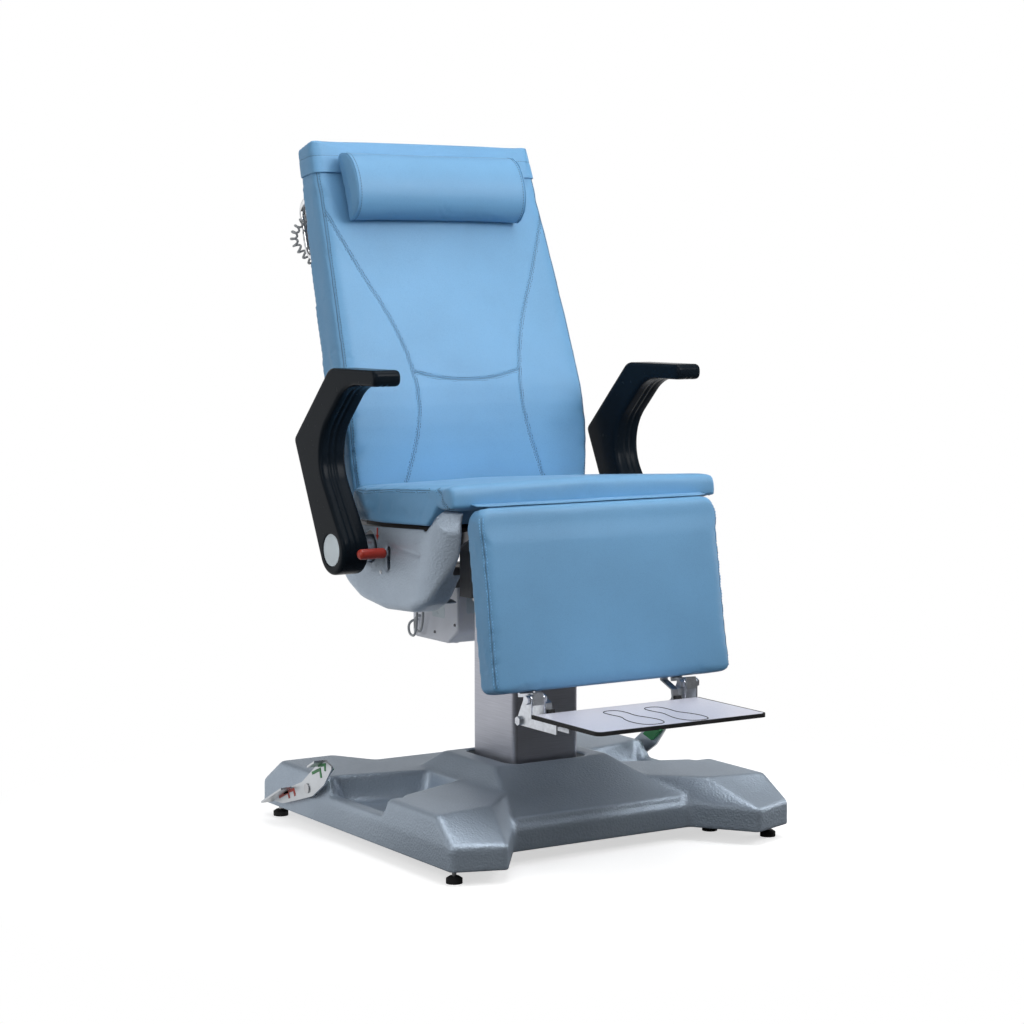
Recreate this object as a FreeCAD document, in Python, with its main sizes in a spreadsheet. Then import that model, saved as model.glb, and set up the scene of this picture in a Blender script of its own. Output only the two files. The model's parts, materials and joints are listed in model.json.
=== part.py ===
"""An ear, nose and throat chair as a parametric document of separate pieces.

Millimetres. The chair faces -Y and +Z is up. The pieces are drawn about the column's axis, and the files
have their origin on the floor under the middle of the whole chair.
"""
import FreeCAD, Part
import Sketcher
import math
import os
import re
from types import SimpleNamespace
from FreeCAD import Placement, Rotation, Vector

# Driving dimensions
SIZES = {
    # place of the column behind the middle of the chair
    "column_y": 15.8,
    # base cover
    "base_half_width": 380, "leg_front_y": -381, "leg_corner_y": -347, "leg_inner_x": 281,
    "front_edge_y": -270, "front_edge_half": 200, "base_rear_y": 388, "rear_leg_inner_x": 250,
    "rear_edge_y": 300, "skirt_bottom": 26, "skirt_top": 72, "deck_top": 118, "deck_draw_in": 8,
    "leg_slope": 62, "leg_crest_inner_x": 245, "hump_top": 150, "hump_half": 128, "hump_front_y": -95,
    "hump_rear_y": 100, "hump_foot_z": 87, "hump_foot_half": 196, "hump_foot_front_y": -262,
    "hump_foot_rear_y": 175, "cover_wall": 6, "cover_round": 10, "column_gap": 15,
    "pocket_floor": 66, "pocket_lip": 84, "pocket_rim": 16, "pocket_front_y": -109, "pocket_rear_y": 134,
    "pocket_inner_x": 168, "pocket_inner_front_y": -25, "pocket_inner_rear_y": 84, "pocket_draft": 14,
    "pocket_round": 14,
    # base frame and feet
    "frame_bottom": 30, "rail_width": 40, "rail_clearance": 3, "cross_rail_front_y": -235,
    "cross_rail_rear_y": 200, "spine_x": 110, "foot_plate_thickness": 12, "foot_plate_half": 150,
    "foot_x": "=base_half_width - 26", "foot_front_y": -316, "foot_rear_y": 358, "inner_foot_x": 290,
    "inner_foot_y": -215,
    "foot_radius": 15, "foot_height": 13, "stem_radius": 4, "stem_length": 40, "nut_width": 13,
    "nut_height": 6, "stem_clearance": 0.3,
    # column and lift
    "sleeve_side": 150, "sleeve_wall": 4, "sleeve_round": 10, "sleeve_bottom": 138, "sleeve_top": 432,
    "inner_side": 134, "inner_wall": 5, "inner_top": 330, "glide_clearance": 0.3, "glide_width": 60,
    "glide_height": 45, "actuator_radius": 30, "actuator_top": 300, "lift_rod_radius": 16,
    "lift_rod_bottom": 136, "shaft_clearance": 0.05, "top_plate_thickness": 10,
    # swivel
    "ring_outer": 98, "ring_inner": 62, "ring_height": 8, "ring_clearance": 0.4, "spindle_radius": 25,
    "spindle_height": 66, "turntable_radius": 104, "turntable_thickness": 24, "hub_radius": 42,
    # seat frame
    "beam_width": 40, "beam_height": 40, "beam_y": 68, "front_beam_y": -88,
    "side_plate_x": "=shell_half - 51", "side_plate_thickness": 8,
    "side_plate_low": 566, "strap_length": 60, "board_bottom": 598, "board_thickness": 12,
    "board_half": "=shell_half - 35", "board_front_y": -104, "seat_rear_y": 176,
    # hinges
    "back_hinge_y": 222, "back_hinge_z": 590, "back_lean": 18, "hinge_pin_radius": 9, "hinge_boss": 18,
    "legrest_hinge_y": -238, "legrest_hinge_z": 636, "legrest_lean": 9.3, "legrest_pin_radius": 7,
    # seat cushion and shell
    "seat_half": "=shell_half", "seat_top_rear": 669, "seat_top_front": 688, "seat_front_y": -220,
    "seat_nose_z": 655, "seat_nose_y": -145, "seat_crown": 5, "seat_side_draw": 5, "seat_edge_draw": 1,
    "seat_round": 14, "seat_low_round": 8, "seat_undercut": 8,
    "shell_half": 290, "shell_wall": 6, "shell_top": 602, "shell_rear_y": 236, "shell_bottom": 444,
    "shell_corner": 135, "shell_crease_y": -98, "shell_rake": 14, "shell_round": 20, "shell_bite": 0.5,
    "shell_clearance": 1.5,
    "horn_y": -215, "horn_top": 650, "horn_rear_y": -144, "horn_foot_y": -112, "horn_depth": 40, "horn_round": 14,
    "shell_chest_y": -188, "shell_chest_z": 590, "shell_waist_y": -152, "shell_waist_z": 536,
    "shell_toe_y": -102, "shell_toe_z": 472, "shell_belly_y": -50, "shell_belly_z": 449,
    "shell_keel_y": 60, "shell_heel_y": 150, "shell_heel_z": 456, "shell_tail_y": 215, "shell_tail_z": 486,
    "shell_back_z": 540, "shell_bend": 60, "shell_rear_top": 558, "throat_half": "=side_plate_x + 11",
    "throat_floor": 528, "shell_hole_half": 118, "shell_hole_front_y": -118,
    # drive housing
    "drive_half": 86, "drive_front_y": 112, "drive_rear_y": 290, "drive_top": 472, "drive_bottom_rear": 352,
    "drive_bottom_front": 380, "drive_round": 14, "drive_seam": 0.4, "drive_screw_radius": 3,
    "drive_screw_inset": 12, "drive_nub_radius": 6, "drive_nub_height": 6, "drive_toe": 40,
    "drive_slant": 50, "drive_bend": 20, "drive_edge": 5, "cable_radius": 2.6,
    "cable_out": 22, "cable_back": 22, "cable_rise": 6, "cable_step": 9, "cable_drop": 30,
    "cable_ahead": 34,
    "cable_bend": 12, "cable_high": 494,
    # arms and lever
    "arm_pivot_y": 105, "arm_pivot_z": 559, "arm_inner_x": "=shell_half + 25", "arm_width": 57,
    "arm_hub_radius": 48,
    "arm_top": 905, "arm_pad": 31, "arm_tip_y": -68, "arm_corner_y": 112, "arm_vertex_y": 257,
    "arm_vertex_z": 764, "arm_limb": 66, "arm_vertex_round": 12, "arm_shoulder_round": 30, "arm_bend": 95,
    "arm_edge_round": 6, "arm_axle_radius": 10, "arm_boss_radius": 26,
    "arm_gap": 0.4, "disc_radius": 31.5, "disc_thickness": 3, "lever_y": 32, "lever_z": 556,
    "lever_pivot_x": "=shell_half - 66", "lever_inner_x": "=lever_pivot_x - 64", "lever_bar": 10,
    "lever_bar_thickness": 6,
    "grip_radius": 10, "grip_length": 60, "grip_start_x": "=shell_half + 4", "lever_pin_radius": 4,
    "lever_drop": 22,
    # back
    "back_rear": -10, "panel_thickness": 4, "back_board_thickness": 14, "back_base": 28, "back_height": 772,
    "back_half_base": 271, "back_half_wide": 283, "back_half_top": 256, "back_front_base": -52,
    "back_front_lumbar": -99, "back_front_top": -77, "lumbar_z": 285, "back_wide_z": "=lumbar_z * 0.65",
    "back_edge_draw": 7,
    "back_crown": 6, "back_round": 16,
    "back_arm_x": "=side_plate_x - 3", "back_arm_thickness": 8, "handle_x": 235,
    "handle_low": "=hood_hem - 136",
    "handle_high": "=hood_hem - 17",
    "handle_standoff": 48, "handle_rod": 6.5, "handle_round": 26, "handle_flange": 13, "handle_foot": 4,
    # headrest
    "hood_hem": 700, "hood_wall": 3, "hood_clearance": 0.5, "roll_half": 200, "roll_x": -14, "roll_low": 594,
    "roll_high": 740, "roll_depth": 62, "roll_gap": 0.2, "roll_edge": 4, "roll_end_draw": 5,
    # hand control and its cord
    "pendant_x": -118, "pendant_z": 486, "pendant_width": 48, "pendant_length": 150, "pendant_depth": 24,
    "pendant_round": 6, "relief_radius": 5, "relief_length": 16, "cradle_wall": 3, "cradle_height": 60,
    "cradle_clearance": 0.5, "gland_x": -190, "gland_z": "=hood_hem - 45", "gland_radius": 8,
    "gland_length": 14,
    "cord_radius": 2.4, "curl_radius": 6.2, "curl_turns": 24, "cord_lead": 26,
    # legrest
    "pad_half": "=shell_half - 24", "pad_thickness": 48, "pad_length": 316, "pad_round": 18,
    "pad_rear_round": 6, "pad_top_corner": 26, "pad_low_corner": 10, "pad_side_draw": 2,
    "leg_board_thickness": 12, "leg_board_inset": 10, "leg_board_half": "=knuckle_x - 2",
    "knuckle_x": "=side_plate_x - 24", "knuckle_radius": 12, "knuckle_width": 22, "knuckle_gap": 2,
    "ear_clearance": 18, "ear_sweep": 60,
    "stop_x": 143, "stop_width": 14, "stop_thickness": 6, "buffer_depth": 8, "buffer_height": 18,
    "stop_drop": 8, "stop_rise": 22, "stop_step": 4, "lug_gap": 2,
    # footplate
    "plate_half": 188, "plate_front_y": -524, "plate_rear_y": -312.5, "plate_top": 286,
    "plate_thickness": 7,
    "edge_width": 4, "plate_round": 14, "fold_y": -300, "fold_z": 312, "ear_x": 160, "ear_gap": 24,
    "ear_thickness": 3, "bracket_rear_y": -262, "bracket_front_y": -392, "bracket_bottom": 262,
    "fold_bolt_radius": 5, "bolt_head": 15, "bolt_head_height": 6, "buffer_gap": 0.9,
    # pedals
    "pedal_x": "=base_half_width + 8", "pedal_plate": 4, "pedal_bend": 30, "pedal_pivot_y": 171,
    "pedal_pivot_z": 91, "pedal_axle_radius": 6,
    "pedal_collar": 13, "tread_width": 26, "pedal_gap": 0.4, "pedal_pad_thickness": 6,
    "pedal_bracket_thickness": 8, "pedal_bracket_half": 28, "pedal_bracket_top": 110,
}

doc = FreeCAD.newDocument("ent_chair")
sheet = doc.addObject("Spreadsheet::Sheet", "dims")
for row, alias in enumerate(SIZES, start=1):
    sheet.setAlias(f"A{row}", alias)
for alias, size in SIZES.items():
    sheet.set(alias, str(size))
doc.recompute()
d = SimpleNamespace(**{alias: float(sheet.get(alias)) for alias in SIZES})

WORD = re.compile(r"[A-Za-z_][A-Za-z_0-9]*")
TURN = {"x": Rotation(Vector(0, 1, 0), 90), "y": Rotation(Vector(1, 0, 0), -90), "z": Rotation()}
nodes = {}


def bind(thing, prop, formula):
    """Tie a property to the sheet; a bare word in the formula is an alias."""
    text = WORD.sub(lambda m: "dims." + m.group() if m.group() in SIZES else m.group(), str(formula))
    thing.setExpression(prop, text)


def node(label, thing):
    """Name a finished sub-part; the label is also its file's name."""
    thing.Label = label
    nodes[label] = thing
    return thing


def block(name, x, y, z):
    """A rectangular piece between a low and a high formula on each axis."""
    piece = doc.addObject("Part::Box", name)
    for side, axis, (low, high) in (("Length", "x", x), ("Width", "y", y), ("Height", "z", z)):
        bind(piece, side, f"({high}) - ({low})")
        bind(piece, f"Placement.Base.{axis}", low)
    return piece


def rod(name, axis, centre, ends, radius):
    """A round bar along an axis; centre gives the other two coordinates in x, y, z order."""
    piece = doc.addObject("Part::Cylinder", name)
    piece.Placement = Placement(Vector(), TURN[axis])
    bind(piece, "Radius", radius)
    bind(piece, "Height", f"({ends[1]}) - ({ends[0]})")
    places = dict(zip([a for a in "xyz" if a != axis], centre))
    places[axis] = ends[0]
    for letter, formula in places.items():
        bind(piece, f"Placement.Base.{letter}", formula)
    return piece


def origin_plane(body, role):
    return next(f for f in body.Origin.OriginFeatures if f.Role == role)


def prism(name, plane, corners, ends, rounds=()):
    """A plate: an outline of formula corners, padded along the plane's normal between two formulas.

    rounds lists (corner numbers, radius formula) for the edges that run along the normal.
    """
    body = doc.addObject("PartDesign::Body", name)
    sketch = body.newObject("Sketcher::SketchObject", name + "_outline")
    sketch.AttachmentSupport = [(origin_plane(body, plane + "_Plane"), "")]
    sketch.MapMode = "FlatFace"
    bind(sketch, "AttachmentOffset.Base.z", ends[0])
    count = len(corners)
    spread = [Vector(math.cos(math.tau * i / count), math.sin(math.tau * i / count), 0) for i in range(count)]
    for i in range(count):
        sketch.addGeometry(Part.LineSegment(spread[i], spread[(i + 1) % count]), False)
    for i in range(count):
        sketch.addConstraint(Sketcher.Constraint("Coincident", i, 2, (i + 1) % count, 1))
    for i, pair in enumerate(corners):
        for kind, start, formula in (("DistanceX", spread[i].x, pair[0]), ("DistanceY", spread[i].y, pair[1])):
            number = sketch.addConstraint(Sketcher.Constraint(kind, i, 1, start))
            bind(sketch, f"Constraints[{number}]", formula)
    pad = body.newObject("PartDesign::Pad", name + "_pad")
    pad.Profile = sketch
    bind(pad, "Length", f"({ends[1]}) - ({ends[0]})")
    doc.recompute()
    base = pad
    for numbers, radius in rounds:
        places = [sketch.getPoint(i, 1) for i in numbers]
        edges = [corner_edge(base.Shape, plane, place) for place in places]
        fillet = body.newObject("PartDesign::Fillet", name + "_round")
        fillet.Base = (base, edges)
        bind(fillet, "Radius", radius)
        body.Tip = fillet
        doc.recompute()
        base = fillet
    return body


def corner_edge(shape, plane, place):
    """The edge along the plane's normal that stands on an outline corner."""
    first, second = {"XY": (0, 1), "YZ": (1, 2)}[plane]

    def offset(edge):
        ends = [v.Point for v in edge.Vertexes]
        return max(math.hypot(p[first] - place.x, p[second] - place.y) for p in ends)

    best = min(range(len(shape.Edges)), key=lambda i: offset(shape.Edges[i]))
    return f"Edge{best + 1}"


def fuse(name, parts):
    whole = doc.addObject("Part::MultiFuse", name)
    whole.Shapes = parts
    return whole


def cut(name, base, tools):
    """The base with every tool taken out of it."""
    result = base
    for i, tool in enumerate(tools):
        step = doc.addObject("Part::Cut", f"{name}_{i}")
        step.Base = result
        step.Tool = tool
        result = step
    return result


def mirror(thing):
    copy = doc.addObject("Part::Mirroring", thing.Name + "_mirror")
    copy.Source = thing
    copy.Normal = (1, 0, 0)
    copy.Base = (0, 0, 0)
    return copy


def group(name, parts):
    """Separate solids that share one node."""
    compound = doc.addObject("Part::Compound", name)
    compound.Links = parts
    return compound


def both_sides(name, thing):
    return group(name, [thing, mirror(thing)])


def shaped(name, shape):
    """A piece whose form is worked out from the sheet by the functions below."""
    piece = doc.addObject("Part::Feature", name)
    piece.Shape = shape
    return piece


def set_on(thing, y, z, lean):
    """Carry a piece drawn about its hinge to the hinge, leaning by an angle about X."""
    thing.Placement = Placement(Vector(), Rotation(Vector(1, 0, 0), -1))
    bind(thing, "Placement.Base.y", y)
    bind(thing, "Placement.Base.z", z)
    bind(thing, "Placement.Rotation.Angle", f"-{lean}")
    return thing


def on_back(thing):
    return set_on(thing, "back_hinge_y", "back_hinge_z", "back_lean")


def on_legrest(thing):
    return set_on(thing, "legrest_hinge_y", "legrest_hinge_z", "legrest_lean")


def rounded_wire(corners, radii):
    """A closed outline of straight runs joined by tangent arcs."""
    edges = []
    count = len(corners)
    joints = []
    for i, corner in enumerate(corners):
        before = (corners[i - 1] - corner).normalize()
        after = (corners[(i + 1) % count] - corner).normalize()
        half_turn = (math.pi - before.getAngle(after)) / 2
        reach = radii[i] * math.tan(half_turn)
        start = corner + before * reach
        end = corner + after * reach
        bisector = (before + after).normalize()
        middle = corner + bisector * (radii[i] / math.cos(half_turn) - radii[i])
        joints.append((start, middle, end))
    for i, (start, middle, end) in enumerate(joints):
        edges.append(Part.Arc(start, middle, end).toShape())
        edges.append(Part.LineSegment(end, joints[(i + 1) % count][0]).toShape())
    return Part.Wire(edges)


def inset_outline(points, gap):
    """A counter-clockwise outline moved inwards by a gap."""
    moved = []
    for i, (x, y) in enumerate(points):
        before = Vector(x - points[i - 1][0], y - points[i - 1][1], 0).normalize()
        after_point = points[(i + 1) % len(points)]
        after = Vector(after_point[0] - x, after_point[1] - y, 0).normalize()
        first = Vector(-before.y, before.x, 0)
        second = Vector(-after.y, after.x, 0)
        shift = (first + second) * (gap / (1 + first.dot(second)))
        moved.append((x + shift.x, y + shift.y))
    return moved


def level_wire(points, z):
    corners = [Vector(x, y, z) for x, y in points]
    return Part.makePolygon(corners + corners[:1])


def mirrored(half):
    """A whole outline from the points of its +X half, listed from front to rear."""
    return half + [(-x, y) for x, y in reversed(half)]


def ruled_solid(wires):
    return Part.makeLoft(wires, True, True)


def side_face(points, x):
    """A flat face in the YZ plane at x."""
    corners = [Vector(x, y, z) for y, z in points]
    return Part.Face(Part.makePolygon(corners + corners[:1]))


# Base cover: a moulded skirt and deck on four legs, a hump round the column and a foot recess each side
def cover_outlines():
    lower = [
        (d.front_edge_half, d.front_edge_y), (d.leg_inner_x, d.leg_front_y),
        (d.base_half_width, d.leg_corner_y), (d.base_half_width, d.base_rear_y),
        (d.rear_leg_inner_x, d.base_rear_y), (d.front_edge_half, d.rear_edge_y),
    ]
    side = d.base_half_width - d.deck_draw_in
    upper = [
        (d.hump_half, d.hump_front_y - d.leg_slope), (d.leg_crest_inner_x, d.front_edge_y + d.deck_draw_in),
        (side, d.leg_corner_y + d.leg_slope), (side, d.base_rear_y - d.leg_slope),
        (d.rear_leg_inner_x, d.base_rear_y - d.leg_slope), (d.front_edge_half, d.rear_edge_y - d.leg_slope),
    ]
    return mirrored(lower), mirrored(upper)


def pocket_form(grow):
    """The foot recess on the +X side, grown outwards by a wall for the inside of the cover."""
    rim = d.base_half_width - d.pocket_rim
    slope = d.pocket_draft
    top = [
        (d.pocket_inner_x, d.pocket_inner_front_y), (rim, d.pocket_front_y),
        (rim, d.pocket_rear_y), (d.pocket_inner_x, d.pocket_inner_rear_y),
    ]
    floor = inset_outline(top, slope)
    low = d.pocket_floor - grow
    bowl = ruled_solid([
        level_wire(inset_outline(floor, -grow), low),
        level_wire(inset_outline(top, -grow), d.deck_top),
        level_wire(inset_outline(top, -grow - slope), d.deck_top + d.hump_top - d.pocket_floor),
    ])
    bowl = bowl.makeFillet(d.pocket_round + grow, [
        e for e in bowl.Edges if e.BoundBox.ZLength > 1 or e.BoundBox.ZMax < low + 1])
    lip = d.pocket_lip - grow
    high = d.hump_top
    notch_outline = [
        (d.pocket_front_y + slope - grow, lip), (d.pocket_rear_y - 2 * slope + grow, lip),
        (d.pocket_rear_y + slope + grow, high), (d.pocket_front_y - slope - grow, high),
    ]
    notch_start = rim - 2 * d.pocket_rim
    notch = side_face(notch_outline, notch_start).extrude(Vector(6 * d.pocket_rim, 0, 0))
    return bowl.fuse(notch)


def cover_form(inset):
    lower, upper = cover_outlines()
    bottom = d.skirt_bottom - inset
    deck = ruled_solid([
        level_wire(inset_outline(lower, inset), bottom),
        level_wire(inset_outline(lower, inset), d.skirt_top - inset / 2),
        level_wire(inset_outline(upper, inset), d.deck_top - inset),
    ])
    hump_low = mirrored([(d.hump_foot_half, d.hump_foot_front_y), (d.hump_foot_half, d.hump_foot_rear_y)])
    hump_high = mirrored([(d.hump_half, d.hump_front_y), (d.hump_half, d.hump_rear_y)])
    hump = ruled_solid([
        level_wire(inset_outline(hump_low, inset), bottom),
        level_wire(inset_outline(hump_low, inset), d.hump_foot_z - inset / 2),
        level_wire(inset_outline(hump_high, inset), d.hump_top - inset),
    ])
    if not inset:
        deck = deck.makeFillet(d.cover_round, [e for e in deck.Edges if e.BoundBox.ZMax > d.skirt_bottom + 1])
        hump = hump.makeFillet(d.cover_round, [e for e in hump.Edges if e.BoundBox.ZMax > d.hump_foot_z + 1])
    pocket = pocket_form(inset)
    other = pocket.mirror(Vector(), Vector(1, 0, 0))
    return deck.fuse(hump).cut(pocket).cut(other).removeSplitter()


def base_cover():
    shell = cover_form(0).cut(cover_form(d.cover_wall))
    half = d.sleeve_side / 2 + d.column_gap
    opening = rounded_wire(
        [Vector(x * half, y * half, 0) for x, y in ((-1, -1), (1, -1), (1, 1), (-1, 1))],
        [d.sleeve_round + d.column_gap] * 4,
    )
    shell = shell.cut(Part.Face(opening).extrude(Vector(0, 0, d.hump_top + d.cover_wall)))
    hole = d.pedal_collar + d.stem_clearance
    reach = 2 * d.base_half_width
    axis_hole = Part.makeCylinder(
        hole, reach, Vector(-d.base_half_width, d.pedal_pivot_y, d.pedal_pivot_z), Vector(1, 0, 0))
    return shell.cut(axis_hole)


node("base_cover", shaped("base_cover_form", base_cover()))

# Base frame: rectangular rails welded round a plate that carries the column
FRAME_TOP = "pocket_floor - cover_wall"
RAIL_OUT = "base_half_width - cover_wall - rail_clearance"
FRAME_Z = ("frame_bottom", FRAME_TOP)


def base_frame():
    side = block("side_rail", (f"{RAIL_OUT} - rail_width", RAIL_OUT),
                 ("leg_corner_y + 2 * cover_wall", "base_rear_y - 2 * cover_wall"), FRAME_Z)
    front = block("front_cross_rail", (f"-({RAIL_OUT}) + rail_width / 2", f"{RAIL_OUT} - rail_width / 2"),
                  ("cross_rail_front_y", "cross_rail_front_y + rail_width"), FRAME_Z)
    rear = block("rear_cross_rail", (f"-({RAIL_OUT}) + rail_width / 2", f"{RAIL_OUT} - rail_width / 2"),
                 ("cross_rail_rear_y", "cross_rail_rear_y + rail_width"), FRAME_Z)
    spine = block("spine_rail", ("spine_x", "spine_x + rail_width"),
                  ("cross_rail_front_y", "cross_rail_rear_y + rail_width"), FRAME_Z)
    plate = block("column_plate", ("-foot_plate_half", "foot_plate_half"),
                  ("-foot_plate_half", "foot_plate_half"),
                  ("frame_bottom", "frame_bottom + foot_plate_thickness"))
    welded = fuse("welded_frame", [side, mirror(side), front, rear, spine, mirror(spine), plate])
    holes = [
        rod("stem_hole", "z", place, ("frame_bottom", FRAME_TOP), "stem_radius + stem_clearance")
        for place in FOOT_PLACES
    ]
    return cut("base_frame_drilled", welded, [group("stem_holes", holes)])


FOOT_PLACES = [
    (f"{sign}{x}", y)
    for x, y in (("foot_x", "foot_front_y"), ("foot_x", "foot_rear_y"), ("inner_foot_x", "inner_foot_y"))
    for sign in ("", "-")
]
node("base_frame", base_frame())


def foot_at(x, y):
    """A rubber disc with a domed shoulder."""
    disc = rod("foot_disc", "z", (x, y), ("0", "foot_height * 0.7"), "foot_radius")
    shoulder = doc.addObject("Part::Cone", "foot_shoulder")
    bind(shoulder, "Radius1", "foot_radius")
    bind(shoulder, "Radius2", "foot_radius * 0.6")
    bind(shoulder, "Height", "foot_height * 0.3")
    bind(shoulder, "Placement.Base.x", x)
    bind(shoulder, "Placement.Base.y", y)
    bind(shoulder, "Placement.Base.z", "foot_height * 0.7")
    return fuse("foot", [disc, shoulder])


def hexagon(name, axis, centre, ends, width):
    """A hexagonal bolt head or nut along an axis."""
    piece = doc.addObject("Part::Prism", name)
    piece.Polygon = 6
    piece.Placement = Placement(Vector(), TURN[axis])
    bind(piece, "Circumradius", f"({width}) / sqrt(3)")
    bind(piece, "Height", f"({ends[1]}) - ({ends[0]})")
    places = dict(zip([a for a in "xyz" if a != axis], centre))
    places[axis] = ends[0]
    for letter, formula in places.items():
        bind(piece, f"Placement.Base.{letter}", formula)
    return piece


def stem_at(x, y):
    stem = rod("stem", "z", (x, y), ("foot_height", "foot_height + stem_length"), "stem_radius")
    nut = hexagon("jam_nut", "z", (x, y), ("frame_bottom - nut_height", "frame_bottom"), "nut_width")
    return fuse("stem_and_nut", [stem, nut])


node("levelling_feet", group("feet", [foot_at(x, y) for x, y in FOOT_PLACES]))
node("levelling_stems", group("stems", [stem_at(x, y) for x, y in FOOT_PLACES]))


# Column: a fixed square tube inside a sliding sleeve
def square_tube(name, side, wall, low, high, round_off):
    half = f"({side}) / 2"
    inner = f"{half} - {wall}"
    square = lambda a: [(f"-({a})", f"-({a})"), (a, f"-({a})"), (a, a), (f"-({a})", a)]
    outside = prism(name + "_outside", "XY", square(half), (low, high), [((0, 1, 2, 3), round_off)])
    inside = prism(name + "_inside", "XY", square(inner), (low, high))
    return cut(name, outside, [inside])


COLUMN_FOOT = "frame_bottom + foot_plate_thickness"
node("column_inner", square_tube("inner_tube", "inner_side", "inner_wall", COLUMN_FOOT, "inner_top",
                                 "sleeve_round / 2"))
node("column_sleeve", square_tube("sleeve_tube", "sleeve_side", "sleeve_wall", "sleeve_bottom", "sleeve_top",
                                  "sleeve_round"))


def column_glides():
    """Four plastic pads at the top of the inner column that run inside the sleeve."""
    inner = "inner_side / 2"
    outer = "sleeve_side / 2 - sleeve_wall - glide_clearance"
    across = ("-glide_width / 2", "glide_width / 2")
    height = ("inner_top - glide_height", "inner_top")
    right = block("side_glide", (inner, outer), across, height)
    rear = block("rear_glide", across, (inner, outer), height)
    front = block("front_glide", across, (f"-({outer})", f"-({inner})"), height)
    return group("glides", [right, mirror(right), rear, front])


node("column_glides", column_glides())
actuator = cut("lift_actuator_bored", rod("actuator_tube", "z", ("0", "0"), (COLUMN_FOOT, "actuator_top"),
                                          "actuator_radius"),
               [rod("actuator_bore", "z", ("0", "0"), (f"{COLUMN_FOOT} + inner_wall", "actuator_top"),
                    "lift_rod_radius + shaft_clearance")])
node("lift_actuator", actuator)
node("lift_rod", rod("lift_rod_bar", "z", ("0", "0"), ("lift_rod_bottom", "sleeve_top"), "lift_rod_radius"))

# Swivel: plate, bearing ring and spindle go up with the sleeve, the turntable turns on them
TOP_PLATE = ("sleeve_top", "sleeve_top + top_plate_thickness")
half_side = "sleeve_side / 2"
top_plate = prism(
    "top_plate", "XY",
    [(f"-{half_side}", f"-{half_side}"), (half_side, f"-{half_side}"), (half_side, half_side),
     (f"-{half_side}", half_side)],
    TOP_PLATE, [((0, 1, 2, 3), "sleeve_round")])
spindle = rod("spindle", "z", ("0", "0"), (TOP_PLATE[1], f"{TOP_PLATE[1]} + spindle_height"), "spindle_radius")
node("lift_top_plate", fuse("plate_and_spindle", [top_plate, spindle]))
RING_TOP = "sleeve_top + top_plate_thickness + ring_height"
node("swivel_ring", cut(
    "swivel_ring_cut", rod("ring_blank", "z", ("0", "0"), (TOP_PLATE[1], RING_TOP), "ring_outer"),
    [rod("ring_hole", "z", ("0", "0"), (TOP_PLATE[1], RING_TOP), "ring_inner")]))
TABLE_LOW = f"{RING_TOP} + ring_clearance"
TABLE_TOP = f"{TABLE_LOW} + turntable_thickness"
table = fuse("turntable_solid", [
    rod("turntable_disc", "z", ("0", "0"), (TABLE_LOW, TABLE_TOP), "turntable_radius"),
    rod("turntable_hub", "z", ("0", "0"), (TABLE_LOW, f"{TOP_PLATE[1]} + spindle_height"), "hub_radius"),
])
node("turntable", cut("turntable_bored", table, [
    rod("spindle_bore", "z", ("0", "0"), (TABLE_LOW, f"{TOP_PLATE[1]} + spindle_height"),
        "spindle_radius + shaft_clearance")]))

# Seat frame: two beams on the turntable, two cross ties and a side plate at each end of the beams
BEAM_Z = (TABLE_TOP, f"{TABLE_TOP} + beam_height")
PLATE_X = ("side_plate_x", "side_plate_x + side_plate_thickness")
SIDE_OUTLINE = [
    ("back_hinge_y + hinge_boss", "back_hinge_z + hinge_boss * 0.8"),
    ("seat_rear_y + hinge_boss * 0.3", "board_bottom"), ("board_front_y", "board_bottom"),
    ("legrest_hinge_y + hinge_boss", "legrest_hinge_z - hinge_boss"),
    ("legrest_hinge_y + hinge_boss * 0.7", "legrest_hinge_z + hinge_boss * 0.4"),
    ("legrest_hinge_y - hinge_boss * 0.4", "legrest_hinge_z + hinge_boss * 0.5"),
    ("legrest_hinge_y - hinge_boss * 0.6", "legrest_hinge_z - hinge_boss * 0.7"),
    ("board_front_y - hinge_boss", "side_plate_low"),
    ("lever_y + 2 * hinge_boss", "side_plate_low"),
    ("arm_pivot_y - 1.6 * arm_boss_radius", "arm_pivot_z - arm_boss_radius"),
    ("arm_pivot_y + 1.6 * arm_boss_radius", "arm_pivot_z - arm_boss_radius"),
    ("back_hinge_y + hinge_boss", "side_plate_low"),
]


def side_plate():
    """A laser-cut plate from the back hinge to the legrest hinge, with the arm axle between them."""
    plate = prism("side_plate_blank", "YZ", SIDE_OUTLINE, PLATE_X)
    return cut("side_plate_drilled", plate, [
        rod("back_pin_hole", "x", ("back_hinge_y", "back_hinge_z"), PLATE_X, "hinge_pin_radius"),
        rod("legrest_pin_hole", "x", ("legrest_hinge_y", "legrest_hinge_z"), PLATE_X, "legrest_pin_radius"),
        rod("arm_axle_hole", "x", ("arm_pivot_y", "arm_pivot_z"), PLATE_X, "arm_axle_radius"),
    ])


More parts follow.
